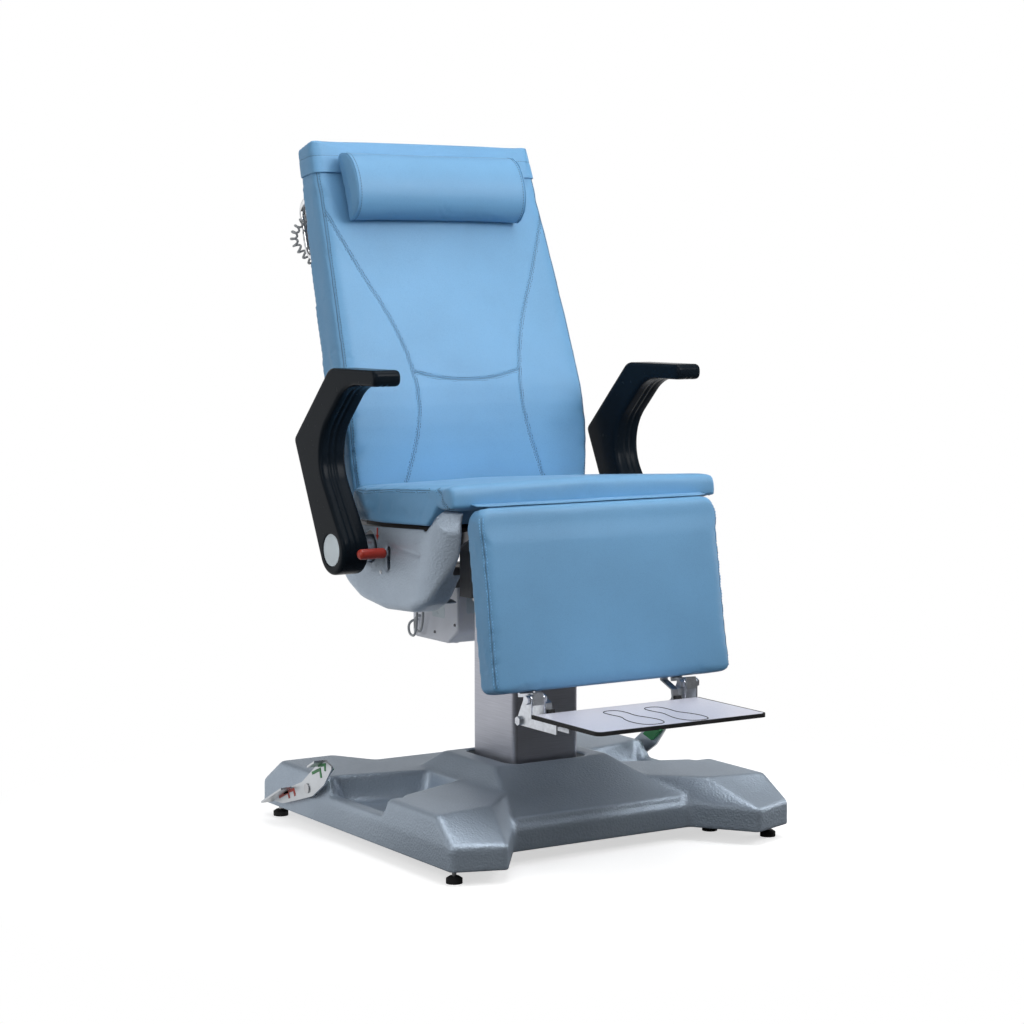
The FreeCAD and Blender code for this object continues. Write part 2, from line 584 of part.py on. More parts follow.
def seat_beams():
    """Beams across the turntable, and posts from their ends up to the seat board."""
    rear = block("rear_beam", ("-side_plate_x + strap_length", "side_plate_x - strap_length"),
                 ("beam_y", "beam_y + beam_width"), BEAM_Z)
    front = block("front_beam", ("-side_plate_x + strap_length", "side_plate_x - strap_length"),
                  ("front_beam_y", "front_beam_y + beam_width"), BEAM_Z)
    post_x = ("side_plate_x - strap_length - beam_width", "side_plate_x - strap_length")
    pieces = [rear, front]
    rear_span = ("beam_y", "beam_y + beam_width")
    front_span = ("front_beam_y", "front_beam_y + beam_width")
    for name, span in (("rear", rear_span), ("front", front_span)):
        post = block(name + "_post", post_x, span, (BEAM_Z[1], "board_bottom"))
        tie = block(name + "_tie", ("side_plate_x - strap_length", "side_plate_x"), span,
                    ("side_plate_low", "board_bottom"))
        pieces += [post, mirror(post), tie, mirror(tie)]
    return fuse("seat_beams_welded", pieces)


node("seat_beams", seat_beams())
node("seat_side_plates", both_sides("side_plates", side_plate()))
node("seat_board", block("seat_board_sheet", ("-board_half", "board_half"), ("board_front_y", "seat_rear_y"),
                         ("board_bottom", "board_bottom + board_thickness")))


def seat_cushion():
    """A boxed pad with a thin rounded nose over the horns, and a crown across its top."""
    low = d.board_bottom + d.board_thickness

    def section(x, draw, rise):
        under = low + draw * 0.3
        nose = d.seat_front_y + draw
        corners = [
            (d.seat_rear_y - draw, under), (d.board_front_y - d.seat_undercut, under),
            (d.seat_nose_y, d.seat_nose_z), (nose, d.seat_nose_z), (nose, d.seat_top_front - draw + rise),
            (d.seat_rear_y - draw, d.seat_top_rear - draw + rise),
        ]
        soft = d.seat_low_round
        radii = [soft, soft, soft, soft, d.seat_round, soft]
        return rounded_wire([Vector(x, y, z) for y, z in corners], radii)

    edge = d.seat_half - d.seat_side_draw
    stations = [
        (-d.seat_half, d.seat_side_draw, 0), (-edge, d.seat_edge_draw, 0), (0, 0, d.seat_crown),
        (edge, d.seat_edge_draw, 0), (d.seat_half, d.seat_side_draw, 0),
    ]
    return ruled_solid([section(*s) for s in stations])


node("seat_cushion", shaped("seat_cushion_form", seat_cushion()))


# Seat shell: a deep tray under the seat; its front corners turn in broadly and rise to a horn on each side
# of the opening for the legrest
def shell_profile():
    """The shell's outline seen from the side, and the radius of each of its corners."""
    bend = d.shell_bend
    corners = [
        (d.horn_y, d.horn_top, d.horn_round), (d.shell_chest_y, d.shell_chest_z, bend),
        (d.shell_waist_y, d.shell_waist_z, bend), (d.shell_toe_y, d.shell_toe_z, bend),
        (d.shell_belly_y, d.shell_belly_z, bend), (d.shell_keel_y, d.shell_bottom, bend),
        (d.shell_heel_y, d.shell_heel_z, bend), (d.shell_tail_y, d.shell_tail_z, bend),
        (d.shell_rear_y, d.shell_back_z, bend / 2), (d.shell_rear_y, d.shell_top, d.horn_round / 4),
        (d.horn_foot_y, d.shell_top, d.horn_round), (d.horn_rear_y, d.horn_top, d.horn_round),
    ]
    return [(y, z) for y, z, radius in corners], [radius for y, z, radius in corners]


def shell_corner_tool(inset):
    """What the round of the right front corner leaves outside; it leans back below."""
    half = d.shell_half - inset + d.shell_bite
    radius = d.shell_corner - inset
    reach = d.horn_top - d.shell_bottom
    lean = math.tan(math.radians(d.shell_rake))
    start = d.shell_crease_y - reach * lean
    front = start - radius
    slant = math.sqrt(0.5) * radius
    middle = half - radius
    out = half + d.shell_corner
    far = front - d.shell_corner
    arc = Part.Arc(Vector(middle, front, 0), Vector(middle + slant, start - slant, 0), Vector(half, start, 0))
    runs = [Vector(half, start, 0), Vector(out, start, 0), Vector(out, far, 0), Vector(middle, far, 0),
            Vector(middle, front, 0)]
    wire = Part.Wire([arc.toShape()] + [Part.LineSegment(a, b).toShape() for a, b in zip(runs, runs[1:])])
    tool = Part.Face(wire).extrude(Vector(0, 3 * reach * lean, -3 * reach))
    tool.translate(Vector(0, 0, d.horn_top + reach))
    return tool


def shell_form(inset):
    points, radii = shell_profile()
    half = d.shell_half - inset
    face = Part.Face(rounded_wire([Vector(-half, y, z) for y, z in points], radii))
    if inset:
        face = face.makeOffset2D(-inset)
    form = face.extrude(Vector(2 * half, 0, 0))
    if not inset:
        rims = [e for e in form.Edges if e.BoundBox.XLength < 0.01 and e.BoundBox.ZMax < d.shell_top - 1]
        form = form.makeFillet(d.shell_round, rims).Solids[0]
    tool = shell_corner_tool(inset)
    return form.cut(tool).cut(tool.mirror(Vector(), Vector(1, 0, 0)))


def seat_shell():
    inner_half = d.shell_half - d.shell_wall
    depth = d.shell_rear_y - d.horn_y
    tall = d.horn_top - d.shell_bottom
    throat = Part.makeBox(2 * d.throat_half, depth, tall,
                          Vector(-d.throat_half, d.horn_y - depth / 2, d.throat_floor))
    top_start = d.horn_foot_y + d.shell_wall
    top = Part.makeBox(2 * inner_half, d.shell_rear_y - d.shell_wall - top_start, tall,
                       Vector(-inner_half, top_start, d.shell_rear_top))
    rear_gate = Part.makeBox(2 * inner_half, depth, tall,
                             Vector(-inner_half, d.shell_rear_y - 2 * d.shell_bend, d.shell_rear_top))
    hole = Part.makeBox(2 * d.shell_hole_half, d.drive_rear_y - d.shell_hole_front_y + d.shell_wall, tall,
                        Vector(-d.shell_hole_half, d.shell_hole_front_y, d.shell_bottom - d.shell_round))
    horns = Part.makeBox(2 * d.shell_half, depth, tall,
                         Vector(-d.shell_half, d.horn_foot_y - depth, d.shell_top - d.horn_depth))
    hollow = shell_form(d.shell_wall).cut(horns)
    shell = shell_form(0).cut(hollow).cut(throat).cut(top).cut(rear_gate).cut(hole)
    boss = Part.makeCylinder(d.arm_boss_radius + d.shell_clearance / 2, 2 * d.shell_half,
                             Vector(-d.shell_half, d.arm_pivot_y, d.arm_pivot_z), Vector(1, 0, 0))
    slot_half = d.lever_bar_thickness / 2 + d.shell_clearance
    slot = Part.makeBox(4 * d.shell_wall, 2 * slot_half, d.lever_drop + 2 * d.lever_bar,
                        Vector(-d.shell_half - d.shell_wall, d.lever_y - slot_half,
                               d.lever_z - d.lever_drop - d.lever_bar))
    return shell.cut(boss).cut(slot)


node("seat_shell", shaped("seat_shell_form", seat_shell()))


# Drive housing: two moulded halves that meet in the middle plane
def drive_half(sign):
    corners = [
        (d.drive_front_y, d.drive_top), (d.drive_front_y, d.drive_bottom_front),
        (d.drive_front_y + d.drive_toe, d.drive_bottom_rear), (d.drive_rear_y, d.drive_bottom_rear),
        (d.drive_rear_y, d.drive_top - d.drive_slant), (d.drive_rear_y - d.drive_slant, d.drive_top),
    ]
    radii = [d.drive_edge, d.drive_bend / 2, d.drive_bend, d.drive_round, d.drive_bend, d.drive_bend]
    start = d.drive_seam / 2
    wire = rounded_wire([Vector(start, y, z) for y, z in corners], radii)
    solid = Part.Face(wire).extrude(Vector(d.drive_half - start, 0, 0))
    outer = [e for e in solid.Edges if abs(e.BoundBox.XMin - d.drive_half) < 0.01]
    solid = solid.makeFillet(d.drive_edge, outer)
    for y in (d.drive_front_y + 2 * d.drive_toe, d.drive_rear_y - d.drive_toe):
        under = Vector(d.drive_half / 2, y, d.drive_bottom_rear - d.drive_nub_height)
        solid = solid.fuse(Part.makeCylinder(d.drive_nub_radius, 2 * d.drive_nub_height, under))
    return solid if sign > 0 else solid.mirror(Vector(), Vector(1, 0, 0))


node("drive_housing_right", shaped("drive_right", drive_half(1)))
node("drive_housing_left", shaped("drive_left", drive_half(-1)))
hanger_x = ("-drive_half + drive_round", "drive_half - drive_round")
node("drive_hanger", block("hanger_bar", hanger_x, ("beam_y + beam_width", "beam_y + 2.2 * beam_width"),
                           ("drive_top", BEAM_Z[1])))

# Arm axles: a stepped bar from the side plate through the shell into each arm
AXLE_AT = ("arm_pivot_y", "arm_pivot_z")
axle = fuse("arm_axle", [
    rod("axle_boss", "x", AXLE_AT, ("side_plate_x + side_plate_thickness", "arm_inner_x - arm_gap"),
        "arm_boss_radius"),
    rod("axle_bar", "x", AXLE_AT, ("side_plate_x", "arm_inner_x + arm_width - disc_thickness - 2 * arm_gap"),
        "arm_axle_radius"),
])
node("arm_axles", both_sides("arm_axle_pair", axle))


# Arms: a bent limb with a hub below and a pad on top
def tangent_point(centre, radius, outside, turn):
    """Where a line from an outside point touches a circle, on the side that turn picks."""
    away = outside - centre
    angle = math.atan2(away.y, away.x) + turn * math.acos(radius / away.Length)
    return centre + Vector(math.cos(angle), math.sin(angle), 0) * radius


def arm_form(x_low):
    hub = Vector(d.arm_pivot_y, d.arm_pivot_z, 0)
    vertex = Vector(d.arm_vertex_y, d.arm_vertex_z, 0)
    shoulder = Vector(d.arm_corner_y, d.arm_top, 0)
    upper = (shoulder - vertex).normalize()
    inward = Vector(-upper.y, upper.x, 0)
    outer_touch = tangent_point(hub, d.arm_hub_radius, vertex, -1)
    lower = (vertex - outer_touch).normalize()
    lower_in = Vector(-lower.y, lower.x, 0)
    lower_start = outer_touch + lower_in * d.arm_limb
    upper_start = vertex + inward * d.arm_limb
    elbow = crossing(lower_start, lower, upper_start, upper)
    under_pad = d.arm_top - d.arm_pad
    armpit = crossing(upper_start, upper, Vector(0, under_pad, 0), Vector(1, 0, 0))
    inner_touch = tangent_point(hub, d.arm_hub_radius, elbow, 1)
    tip = [Vector(d.arm_tip_y, d.arm_top, 0), Vector(d.arm_tip_y, under_pad, 0)]
    corners = [vertex, shoulder] + tip + [armpit, elbow]
    tip_round = 0.4 * d.arm_pad
    radii = [d.arm_vertex_round, d.arm_shoulder_round, tip_round, tip_round, d.arm_bend, d.arm_bend]
    path = open_rounded([outer_touch] + corners + [inner_touch], [0] + radii + [0])
    low = hub - Vector(0, d.arm_hub_radius, 0)
    path.append(Part.Arc(inner_touch, low, outer_touch).toShape())
    wire = Part.Wire(path)
    wire.Placement = Placement(Vector(x_low, 0, 0), Rotation(Vector(1, 1, 1), 120))
    limb = Part.Face(wire).extrude(Vector(d.arm_width, 0, 0))
    rims = [e for e in limb.Edges if e.BoundBox.XLength < 0.01]
    return limb.makeFillet(d.arm_edge_round, rims)


def crossing(start, along, other_start, other_along):
    """Where two lines of one plane cross."""
    gap = other_start - start
    turn = along.x * other_along.y - along.y * other_along.x
    reach = (gap.x * other_along.y - gap.y * other_along.x) / turn
    return start + along * reach


def open_rounded(points, radii):
    """Edges along a run of points, with an arc at every inner point."""
    edges = []
    last = points[0]
    for i in range(1, len(points) - 1):
        before = (points[i - 1] - points[i]).normalize()
        after = (points[i + 1] - points[i]).normalize()
        half_turn = (math.pi - before.getAngle(after)) / 2
        reach = radii[i] * math.tan(half_turn)
        start = points[i] + before * reach
        end = points[i] + after * reach
        bulge = (before + after).normalize() * (radii[i] / math.cos(half_turn) - radii[i])
        edges.append(Part.LineSegment(last, start).toShape())
        edges.append(Part.Arc(start, points[i] + bulge, end).toShape())
        last = end
    edges.append(Part.LineSegment(last, points[-1]).toShape())
    return edges


def arm():
    bored = arm_form(d.arm_inner_x)
    hole = d.arm_axle_radius + d.shaft_clearance
    start = Vector(d.arm_inner_x, d.arm_pivot_y, d.arm_pivot_z)
    bored = bored.cut(Part.makeCylinder(hole, d.arm_width, start, Vector(1, 0, 0)))
    seat = Vector(d.arm_inner_x + d.arm_width - d.disc_thickness, d.arm_pivot_y, d.arm_pivot_z)
    return bored.cut(Part.makeCylinder(d.disc_radius, d.disc_thickness, seat, Vector(1, 0, 0)))


right_arm = shaped("right_arm_form", arm())
node("arm_right", right_arm)
node("arm_left", mirror(right_arm))
disc = rod("arm_disc", "x", AXLE_AT, ("arm_inner_x + arm_width - disc_thickness", "arm_inner_x + arm_width"),
           "disc_radius - arm_gap")
node("arm_disc_right", disc)
node("arm_disc_left", mirror(disc))

# Lock lever: a bar through the slot in the left wall, with a grip outside and a pin inside
LEVER_Y = ("lever_y - lever_bar_thickness / 2", "lever_y + lever_bar_thickness / 2")
LEVER_AT = ("-lever_pivot_x", "lever_z")
bar = block("lever_blank", ("-grip_start_x - grip_length * 0.6", "-lever_inner_x"), LEVER_Y,
            ("lever_z - lever_bar / 2", "lever_z + lever_bar / 2"))
eye = rod("lever_eye", "y", LEVER_AT, LEVER_Y, "lever_bar * 0.8")
node("lever_bar", cut("lever_bored", fuse("lever_blank_eye", [bar, eye]), [
    rod("lever_hole", "y", LEVER_AT, LEVER_Y, "lever_pin_radius + shaft_clearance")]))
grip = rod("grip_round", "x", ("lever_y", "lever_z"), ("-grip_start_x - grip_length", "-grip_start_x"),
           "grip_radius")
grip_form = doc.addObject("Part::Fillet", "grip_rounded")
grip_form.Base = grip
doc.recompute()
grip_form.Edges = [(i + 1, d.grip_radius * 0.8, d.grip_radius * 0.8) for i, e in enumerate(grip.Shape.Edges)
                   if e.BoundBox.XLength < 0.01 and e.Closed]
pocket = block("grip_pocket", ("-grip_start_x - grip_length * 0.6", "-grip_start_x"), LEVER_Y,
               ("lever_z - lever_bar / 2", "lever_z + lever_bar / 2"))
node("lever_grip", cut("lever_grip_cut", grip_form, [pocket]))
cheek_x = ("-lever_pivot_x - lever_bar", "-lever_pivot_x + lever_bar")
cheek = block("lever_cheek", cheek_x, (f"{LEVER_Y[1]} + arm_gap", f"{LEVER_Y[1]} + arm_gap + lever_bar"),
              ("lever_z - lever_bar", "board_bottom"))
pin = rod("lever_pin_bar", "y", LEVER_AT, (f"{LEVER_Y[0]} - lever_bar_thickness", f"{LEVER_Y[1]} + arm_gap"),
          "lever_pin_radius")
node("lever_bracket", fuse("lever_bracket_pin", [cheek, pin]))


# Back: drawn upright about the hinge line, then leaned
CROWN_SHARE = 0.8
HEAD_TAPER = 1.43
LUMBAR_FALL = 1.3
HOOD_ROUND = 13


def back_half_at(z):
    """Half the width of the back at a height above the hinge."""
    if z <= d.back_wide_z:
        share = (z - d.back_base) / (d.back_wide_z - d.back_base)
        return d.back_half_base + (d.back_half_wide - d.back_half_base) * math.sin(share * math.pi / 2)
    share = (z - d.back_wide_z) / (d.back_height - d.back_wide_z)
    return d.back_half_wide + (d.back_half_top - d.back_half_wide) * share ** HEAD_TAPER


def back_front_at(z):
    """How far the front of the back stands before the hinge line at a height."""
    if z <= d.lumbar_z:
        share = (z - d.back_base) / (d.lumbar_z - d.back_base)
        return d.back_front_base + (d.back_front_lumbar - d.back_front_base) * math.sin(share * math.pi / 2)
    share = (z - d.lumbar_z) / (d.back_height - d.lumbar_z)
    return d.back_front_lumbar + (d.back_front_top - d.back_front_lumbar) * share ** LUMBAR_FALL


def back_section(z, draw, rear, grow=0):
    """A level slice of the back pad: flat behind, crowned in front."""
    half = back_half_at(z) - draw + grow
    front = back_front_at(z) + draw - grow
    corners = [(half, rear), (-half, rear), (-half, front + d.back_crown), (0, front), (half, front + d.back_crown)]
    crown_round = CROWN_SHARE * half ** 2 / (2 * d.back_crown)
    side_round = min(d.back_round, 0.6 * (rear - front - d.back_crown))
    rear_round = HOOD_ROUND if grow else 2
    radii = [rear_round, rear_round, side_round, crown_round, side_round]
    return rounded_wire([Vector(x, y, z) for x, y in corners], radii)


def back_cushion():
    rear = d.back_rear - d.panel_thickness - d.back_board_thickness
    heights = [0.015, 0.05, 0.1, 0.15, 0.2, 0.25, 0.3, 0.4, 0.5, 0.6, 0.7, 0.8, 0.9, 0.985]
    span = d.back_height - d.back_base
    slices = [back_section(d.back_base, d.back_edge_draw, rear)]
    slices += [back_section(d.back_base + span * h, 0, rear) for h in heights]
    slices.append(back_section(d.back_height, d.back_edge_draw, rear))
    return Part.makeLoft(slices, True, True)


node("back_cushion", on_back(shaped("back_cushion_form", back_cushion())))


def back_sheet(gap, y_low, y_high):
    """A flat sheet behind the back pad: narrow at the foot, wide at the waist, narrow at the head."""
    half = [(d.back_half_base - gap, d.back_base + gap), (d.back_half_wide - gap, d.back_wide_z),
            (d.back_half_top - gap, d.back_height - gap)]
    corners = [Vector(x, y_low, z) for x, z in mirrored(half)]
    radii = [d.back_round, 2 * d.lumbar_z, d.back_round] * 2
    return Part.Face(rounded_wire(corners, radii)).extrude(Vector(0, y_high - y_low, 0))


panel_front = d.back_rear - d.panel_thickness
board_front = panel_front - d.back_board_thickness
node("back_board", on_back(shaped("back_board_sheet", back_sheet(d.back_round * 0.7, board_front, panel_front))))
node("back_panel", on_back(shaped("back_panel_sheet", back_sheet(d.back_round * 0.8, panel_front, d.back_rear))))

# Back frame: two flat arms behind the panel, an upper tie and the hinge eyes
ARM_X = ("back_arm_x - back_arm_thickness", "back_arm_x")
arm_outline = [
    ("back_rear", "lumbar_z"), ("back_rear", "back_base"), ("-hinge_boss", "-hinge_boss * 0.3"),
    ("-hinge_boss * 0.5", "-hinge_boss * 0.9"), ("hinge_boss * 0.5", "-hinge_boss * 0.9"),
    ("hinge_boss", "-hinge_boss * 0.3"), ("hinge_boss", "hinge_boss"), ("back_rear + hinge_boss", "lumbar_z"),
]
back_arm = prism("back_arm_blank", "YZ", arm_outline, ARM_X)
tie_bar = block("back_tie", ("-back_arm_x", "back_arm_x"), ("back_rear", "back_rear + back_arm_thickness"),
                ("lumbar_z - 3 * hinge_boss", "lumbar_z"))
back_frame = cut("back_frame_drilled", fuse("back_frame_welded", [back_arm, mirror(back_arm), tie_bar]), [
    rod("hinge_eye_bore", "x", ("0", "0"), ("-back_arm_x", "back_arm_x"), "hinge_pin_radius + shaft_clearance")])
node("back_frame", on_back(back_frame))
hinge_pin = rod("hinge_pin", "x", ("back_hinge_y", "back_hinge_z"),
                ("back_arm_x - 2 * back_arm_thickness", "side_plate_x + side_plate_thickness"),
                "hinge_pin_radius")


# Push handles: a bent bar with a flange at each foot
def handle():
    low = Vector(d.handle_x, d.back_rear, d.handle_low)
    high = Vector(d.handle_x, d.back_rear, d.handle_high)
    out = Vector(0, d.handle_standoff - d.back_rear, 0)
    path = Part.Wire(open_rounded([low, low + out, high + out, high], [0, d.handle_round, d.handle_round, 0]))
    circle = Part.Wire(Part.makeCircle(d.handle_rod, low, Vector(0, 1, 0)))
    bar_form = path.makePipeShell([circle], True, False)
    feet = [Part.makeCylinder(d.handle_flange, d.handle_foot, p, Vector(0, 1, 0)) for p in (low, high)]
    return bar_form.fuse(feet[0]).fuse(feet[1]).removeSplitter()


right_handle = shaped("right_handle_form", handle())
handles = both_sides("handle_pair", right_handle)
node("push_handles", on_back(handles))


# Headrest: a fabric cap over the top of the back and a half-round neck roll sewn to its front
def hood_form():
    rear_outer = d.back_rear + d.hood_clearance + d.hood_wall
    grow = d.hood_clearance + d.hood_wall
    heights = [d.hood_hem, (d.hood_hem + d.back_height) / 2, d.back_height]
    outer = Part.makeLoft([back_section(z, 0, rear_outer, grow) for z in heights], True, True)
    lid = back_section(d.back_height, 0, rear_outer, grow)
    lid_top = lid.copy()
    lid_top.translate(Vector(0, 0, d.hood_clearance + d.hood_wall))
    outer = outer.fuse(Part.makeLoft([lid, lid_top], True, True))
    rear_inner = d.back_rear + d.hood_clearance
    inner = Part.makeLoft([back_section(z, 0, rear_inner, d.hood_clearance) for z in heights], True, True)
    inner_lid = back_section(d.back_height, 0, rear_inner, d.hood_clearance)
    inner_top = inner_lid.copy()
    inner_top.translate(Vector(0, 0, d.hood_clearance))
    inner = inner.fuse(Part.makeLoft([inner_lid, inner_top], True, True))
    return outer.cut(inner)


ROLL_CHIN = 0.12
ROLL_BROW = 0.86
ROLL_BEND = 0.62


def roll_form():
    foot = back_front_at(d.roll_low)
    lean = math.atan2(back_front_at(d.roll_high) - foot, d.roll_high - d.roll_low)
    height = (d.roll_high - d.roll_low) / math.cos(lean)
    crown_loss = CROWN_SHARE * d.back_crown / 4
    rear = crown_loss - d.hood_clearance - d.hood_wall - d.roll_gap

    def section(x, draw):
        front = rear - d.roll_depth + draw
        corners = [(rear, draw), (front, height * ROLL_CHIN + draw / 2), (front, height * ROLL_BROW - draw / 2),
                   (rear, height - draw)]
        placed = [
            Vector(x, foot + y * math.cos(lean) + z * math.sin(lean),
                   d.roll_low - y * math.sin(lean) + z * math.cos(lean))
            for y, z in corners
        ]
        bend = ROLL_BEND * d.roll_depth
        return rounded_wire(placed, [d.roll_edge, bend, bend, d.roll_edge])

    draw = d.roll_end_draw
    ends = [(-d.roll_half, draw), (-d.roll_half + draw, 0), (d.roll_half - draw, 0), (d.roll_half, draw)]
    return ruled_solid([section(d.roll_x + x, draw) for x, draw in ends])


node("headrest_hood", on_back(shaped("hood", hood_form())))
node("headrest_roll", on_back(shaped("roll", roll_form())))


# Legrest: drawn hanging straight down from its hinge, then swung forward by its lean
def legrest_cushion():
    """A flat pad with rounded upper corners, a recess for its board and notches for the hinges."""
    half_depth = d.pad_thickness / 2

    def section(x, draw, high_drop, low_rise):
        front = draw - half_depth
        corners = [
            (half_depth, low_rise - d.pad_length), (front, low_rise - d.pad_length),
            (front, half_depth - high_drop), (half_depth, half_depth - high_drop),
        ]
        radii = [d.pad_rear_round, d.pad_round / 2, d.pad_round, d.pad_round]
        return rounded_wire([Vector(x, y, z) for y, z in corners], radii)

    stations = []
    for turn in (0, 25, 45, 65, 90):
        angle = math.radians(turn)
        x = d.pad_half - d.pad_top_corner * (1 - math.sin(angle))
        drop = d.pad_top_corner * (1 - math.cos(angle))
        rise = d.pad_low_corner * (1 - math.cos(angle))
        stations.append((x, d.pad_side_draw * math.sin(angle) ** 4, drop, rise))
    wires = [section(-x, *rest) for x, *rest in reversed(stations)] + [section(*s) for s in stations]
    pad = ruled_solid(wires)
    board = half_depth - d.leg_board_thickness
    recess_half = d.leg_board_half + d.knuckle_gap / 2
    recess_low = d.leg_board_inset / 2 - d.pad_length - d.knuckle_gap / 2
    recess = Part.makeBox(2 * recess_half, d.pad_thickness, -2 * d.knuckle_radius - recess_low,
                          Vector(-recess_half, board, recess_low))
    pad = pad.cut(recess)
    notch_x = d.knuckle_x - d.knuckle_gap
    notch_wide = d.side_plate_x - notch_x
    eye = Part.makeCylinder(d.knuckle_radius + d.knuckle_gap / 2, notch_wide, Vector(notch_x, 0, 0), Vector(1, 0, 0))
    web_low = 3.2 * d.knuckle_radius
    web = Part.makeBox(notch_wide, d.pad_thickness, web_low, Vector(notch_x, 0, -web_low))
    ear_x = d.side_plate_x - d.knuckle_gap
    ear_wide = d.side_plate_thickness + 2 * d.knuckle_gap
    ear = Part.makeCylinder(d.ear_clearance, ear_wide, Vector(ear_x, 0, 0), Vector(1, 0, 0))
    swept = side_face([(0, -d.ear_clearance), (d.ear_sweep, -d.ear_sweep), (d.ear_sweep, d.ear_sweep),
                       (-d.ear_clearance / 2, d.ear_sweep), (-d.ear_clearance / 2, 0)], ear_x)
    sweep = swept.extrude(Vector(ear_wide, 0, 0))
    for tool in (eye, web, ear, sweep):
        pad = pad.cut(tool).cut(tool.mirror(Vector(), Vector(1, 0, 0)))
    return pad


node("legrest_cushion", on_legrest(shaped("legrest_cushion_form", legrest_cushion())))
LEG_REAR = "pad_thickness / 2"
LEG_BOARD = (f"{LEG_REAR} - leg_board_thickness", LEG_REAR)
LEG_BOARD_X = ("-leg_board_half", "leg_board_half")
leg_sheet = block("legrest_board_sheet", LEG_BOARD_X, LEG_BOARD,
                  ("-pad_length + leg_board_inset / 2", "-knuckle_radius * 2 - stop_thickness / 2"))
node("legrest_board", on_legrest(group("legrest_board_set", [leg_sheet])))

# Legrest arms: a knuckle on each hinge pin and a flat bar down the back of the board
KNUCKLE_X = ("knuckle_x", "knuckle_x + knuckle_width")
strap = block("legrest_strap", ("knuckle_x - 2 * knuckle_width", "knuckle_x + knuckle_width"),
              (LEG_REAR, f"{LEG_REAR} + stop_thickness"), ("-pad_length * 0.7", "-knuckle_radius * 1.4"))
web = block("legrest_web", KNUCKLE_X, ("0", f"{LEG_REAR} + stop_thickness"),
            ("-knuckle_radius * 3", "0"))
knuckle = rod("knuckle", "x", ("0", "0"), KNUCKLE_X, "knuckle_radius")
leg_arm = cut("legrest_arm_bored", fuse("legrest_arm_welded", [strap, web, knuckle]), [
    rod("knuckle_bore", "x", ("0", "0"), KNUCKLE_X, "legrest_pin_radius + shaft_clearance")])
node("legrest_arms", on_legrest(both_sides("legrest_arm_pair", leg_arm)))
leg_pin = rod("legrest_pin", "x", ("legrest_hinge_y", "legrest_hinge_z"),
              ("knuckle_x", "side_plate_x + side_plate_thickness"), "legrest_pin_radius")
node("hinge_pins", group("hinge_pin_set", [hinge_pin, mirror(hinge_pin), leg_pin, mirror(leg_pin)]))


def to_legrest(y, z):
    """A point of the whole chair as the upright legrest sees it."""
    angle = math.radians(d.legrest_lean)
    dy = y - d.legrest_hinge_y
    dz = z - d.legrest_hinge_z
    return dy * math.cos(angle) - dz * math.sin(angle), dy * math.sin(angle) + dz * math.cos(angle)


# Footplate lugs under the legrest, and stops that the plate's rear edge rests against
LUG_SHARE = 0.72


def lug():
    fold_y, fold_z = to_legrest(d.fold_y, d.fold_z)
    rear = d.pad_thickness / 2
    plate_rear = rear + d.stop_thickness
    under = -d.pad_length - d.lug_gap
    high = -d.pad_length * LUG_SHARE
    eye = 2.2 * d.fold_bolt_radius
    outline = [(plate_rear, high), (rear, high), (rear, under),
               (fold_y - eye, under), (fold_y - eye, fold_z - eye), (fold_y + eye, fold_z - eye),
               (fold_y + eye, under - d.stop_thickness), (plate_rear, under - d.stop_thickness)]
    width = d.ear_gap - 2 * d.arm_gap
    block_form = side_face(outline, d.ear_x + d.arm_gap).extrude(Vector(width, 0, 0))
    bore = Part.makeCylinder(d.fold_bolt_radius + d.shaft_clearance, d.ear_gap,
                             Vector(d.ear_x, fold_y, fold_z), Vector(1, 0, 0))
    return block_form.cut(bore)


node("footplate_lugs", on_legrest(both_sides("lug_pair", shaped("lug_form", lug()))))


def stop_bar():
    edge_y, edge_z = to_legrest(d.plate_rear_y, d.plate_top - d.plate_thickness / 2)
    rear = d.pad_thickness / 2
    front = edge_y + d.buffer_gap + d.buffer_depth
    low = edge_z - d.stop_drop
    bend = edge_z + d.stop_rise
    under = -d.pad_length - d.stop_step
    high = -d.pad_length * LUG_SHARE
    outline = [(rear, high), (rear, under), (front, bend), (front, low), (front + d.stop_thickness, low),
               (front + d.stop_thickness, bend), (rear + d.stop_thickness, under), (rear + d.stop_thickness, high)]
    start = d.stop_x - d.stop_width / 2
    bar_form = side_face(outline, start).extrude(Vector(d.stop_width, 0, 0))
    pad = Part.makeBox(d.stop_width, d.buffer_depth, d.buffer_height, Vector(start, front - d.buffer_depth, low))
    return bar_form, pad


stop_steel, stop_rubber = stop_bar()
node("footplate_stops", on_legrest(both_sides("stop_pair", shaped("stop_form", stop_steel))))
node("stop_buffers", on_legrest(both_sides("buffer_pair", shaped("buffer_form", stop_rubber))))

# Footplate: a flat plate with a rubber edge on two folded brackets
PLATE_Z = ("plate_top - plate_thickness", "plate_top")
PLATE_CORNERS = [("plate_half", "plate_rear_y"), ("-plate_half", "plate_rear_y"),
                 ("-plate_half", "plate_front_y"), ("plate_half", "plate_front_y")]
INNER_CORNERS = [("plate_half - edge_width", "plate_rear_y"), ("edge_width - plate_half", "plate_rear_y"),
                 ("edge_width - plate_half", "plate_front_y + edge_width"),
                 ("plate_half - edge_width", "plate_front_y + edge_width")]
node("footplate", prism("footplate_sheet", "XY", INNER_CORNERS, PLATE_Z, [((2, 3), "plate_round - edge_width")]))
node("footplate_edge", cut(
    "edge_strip", prism("edge_blank", "XY", PLATE_CORNERS, PLATE_Z, [((2, 3), "plate_round")]),
    [prism("edge_inside", "XY", INNER_CORNERS, PLATE_Z, [((2, 3), "plate_round - edge_width")])]))
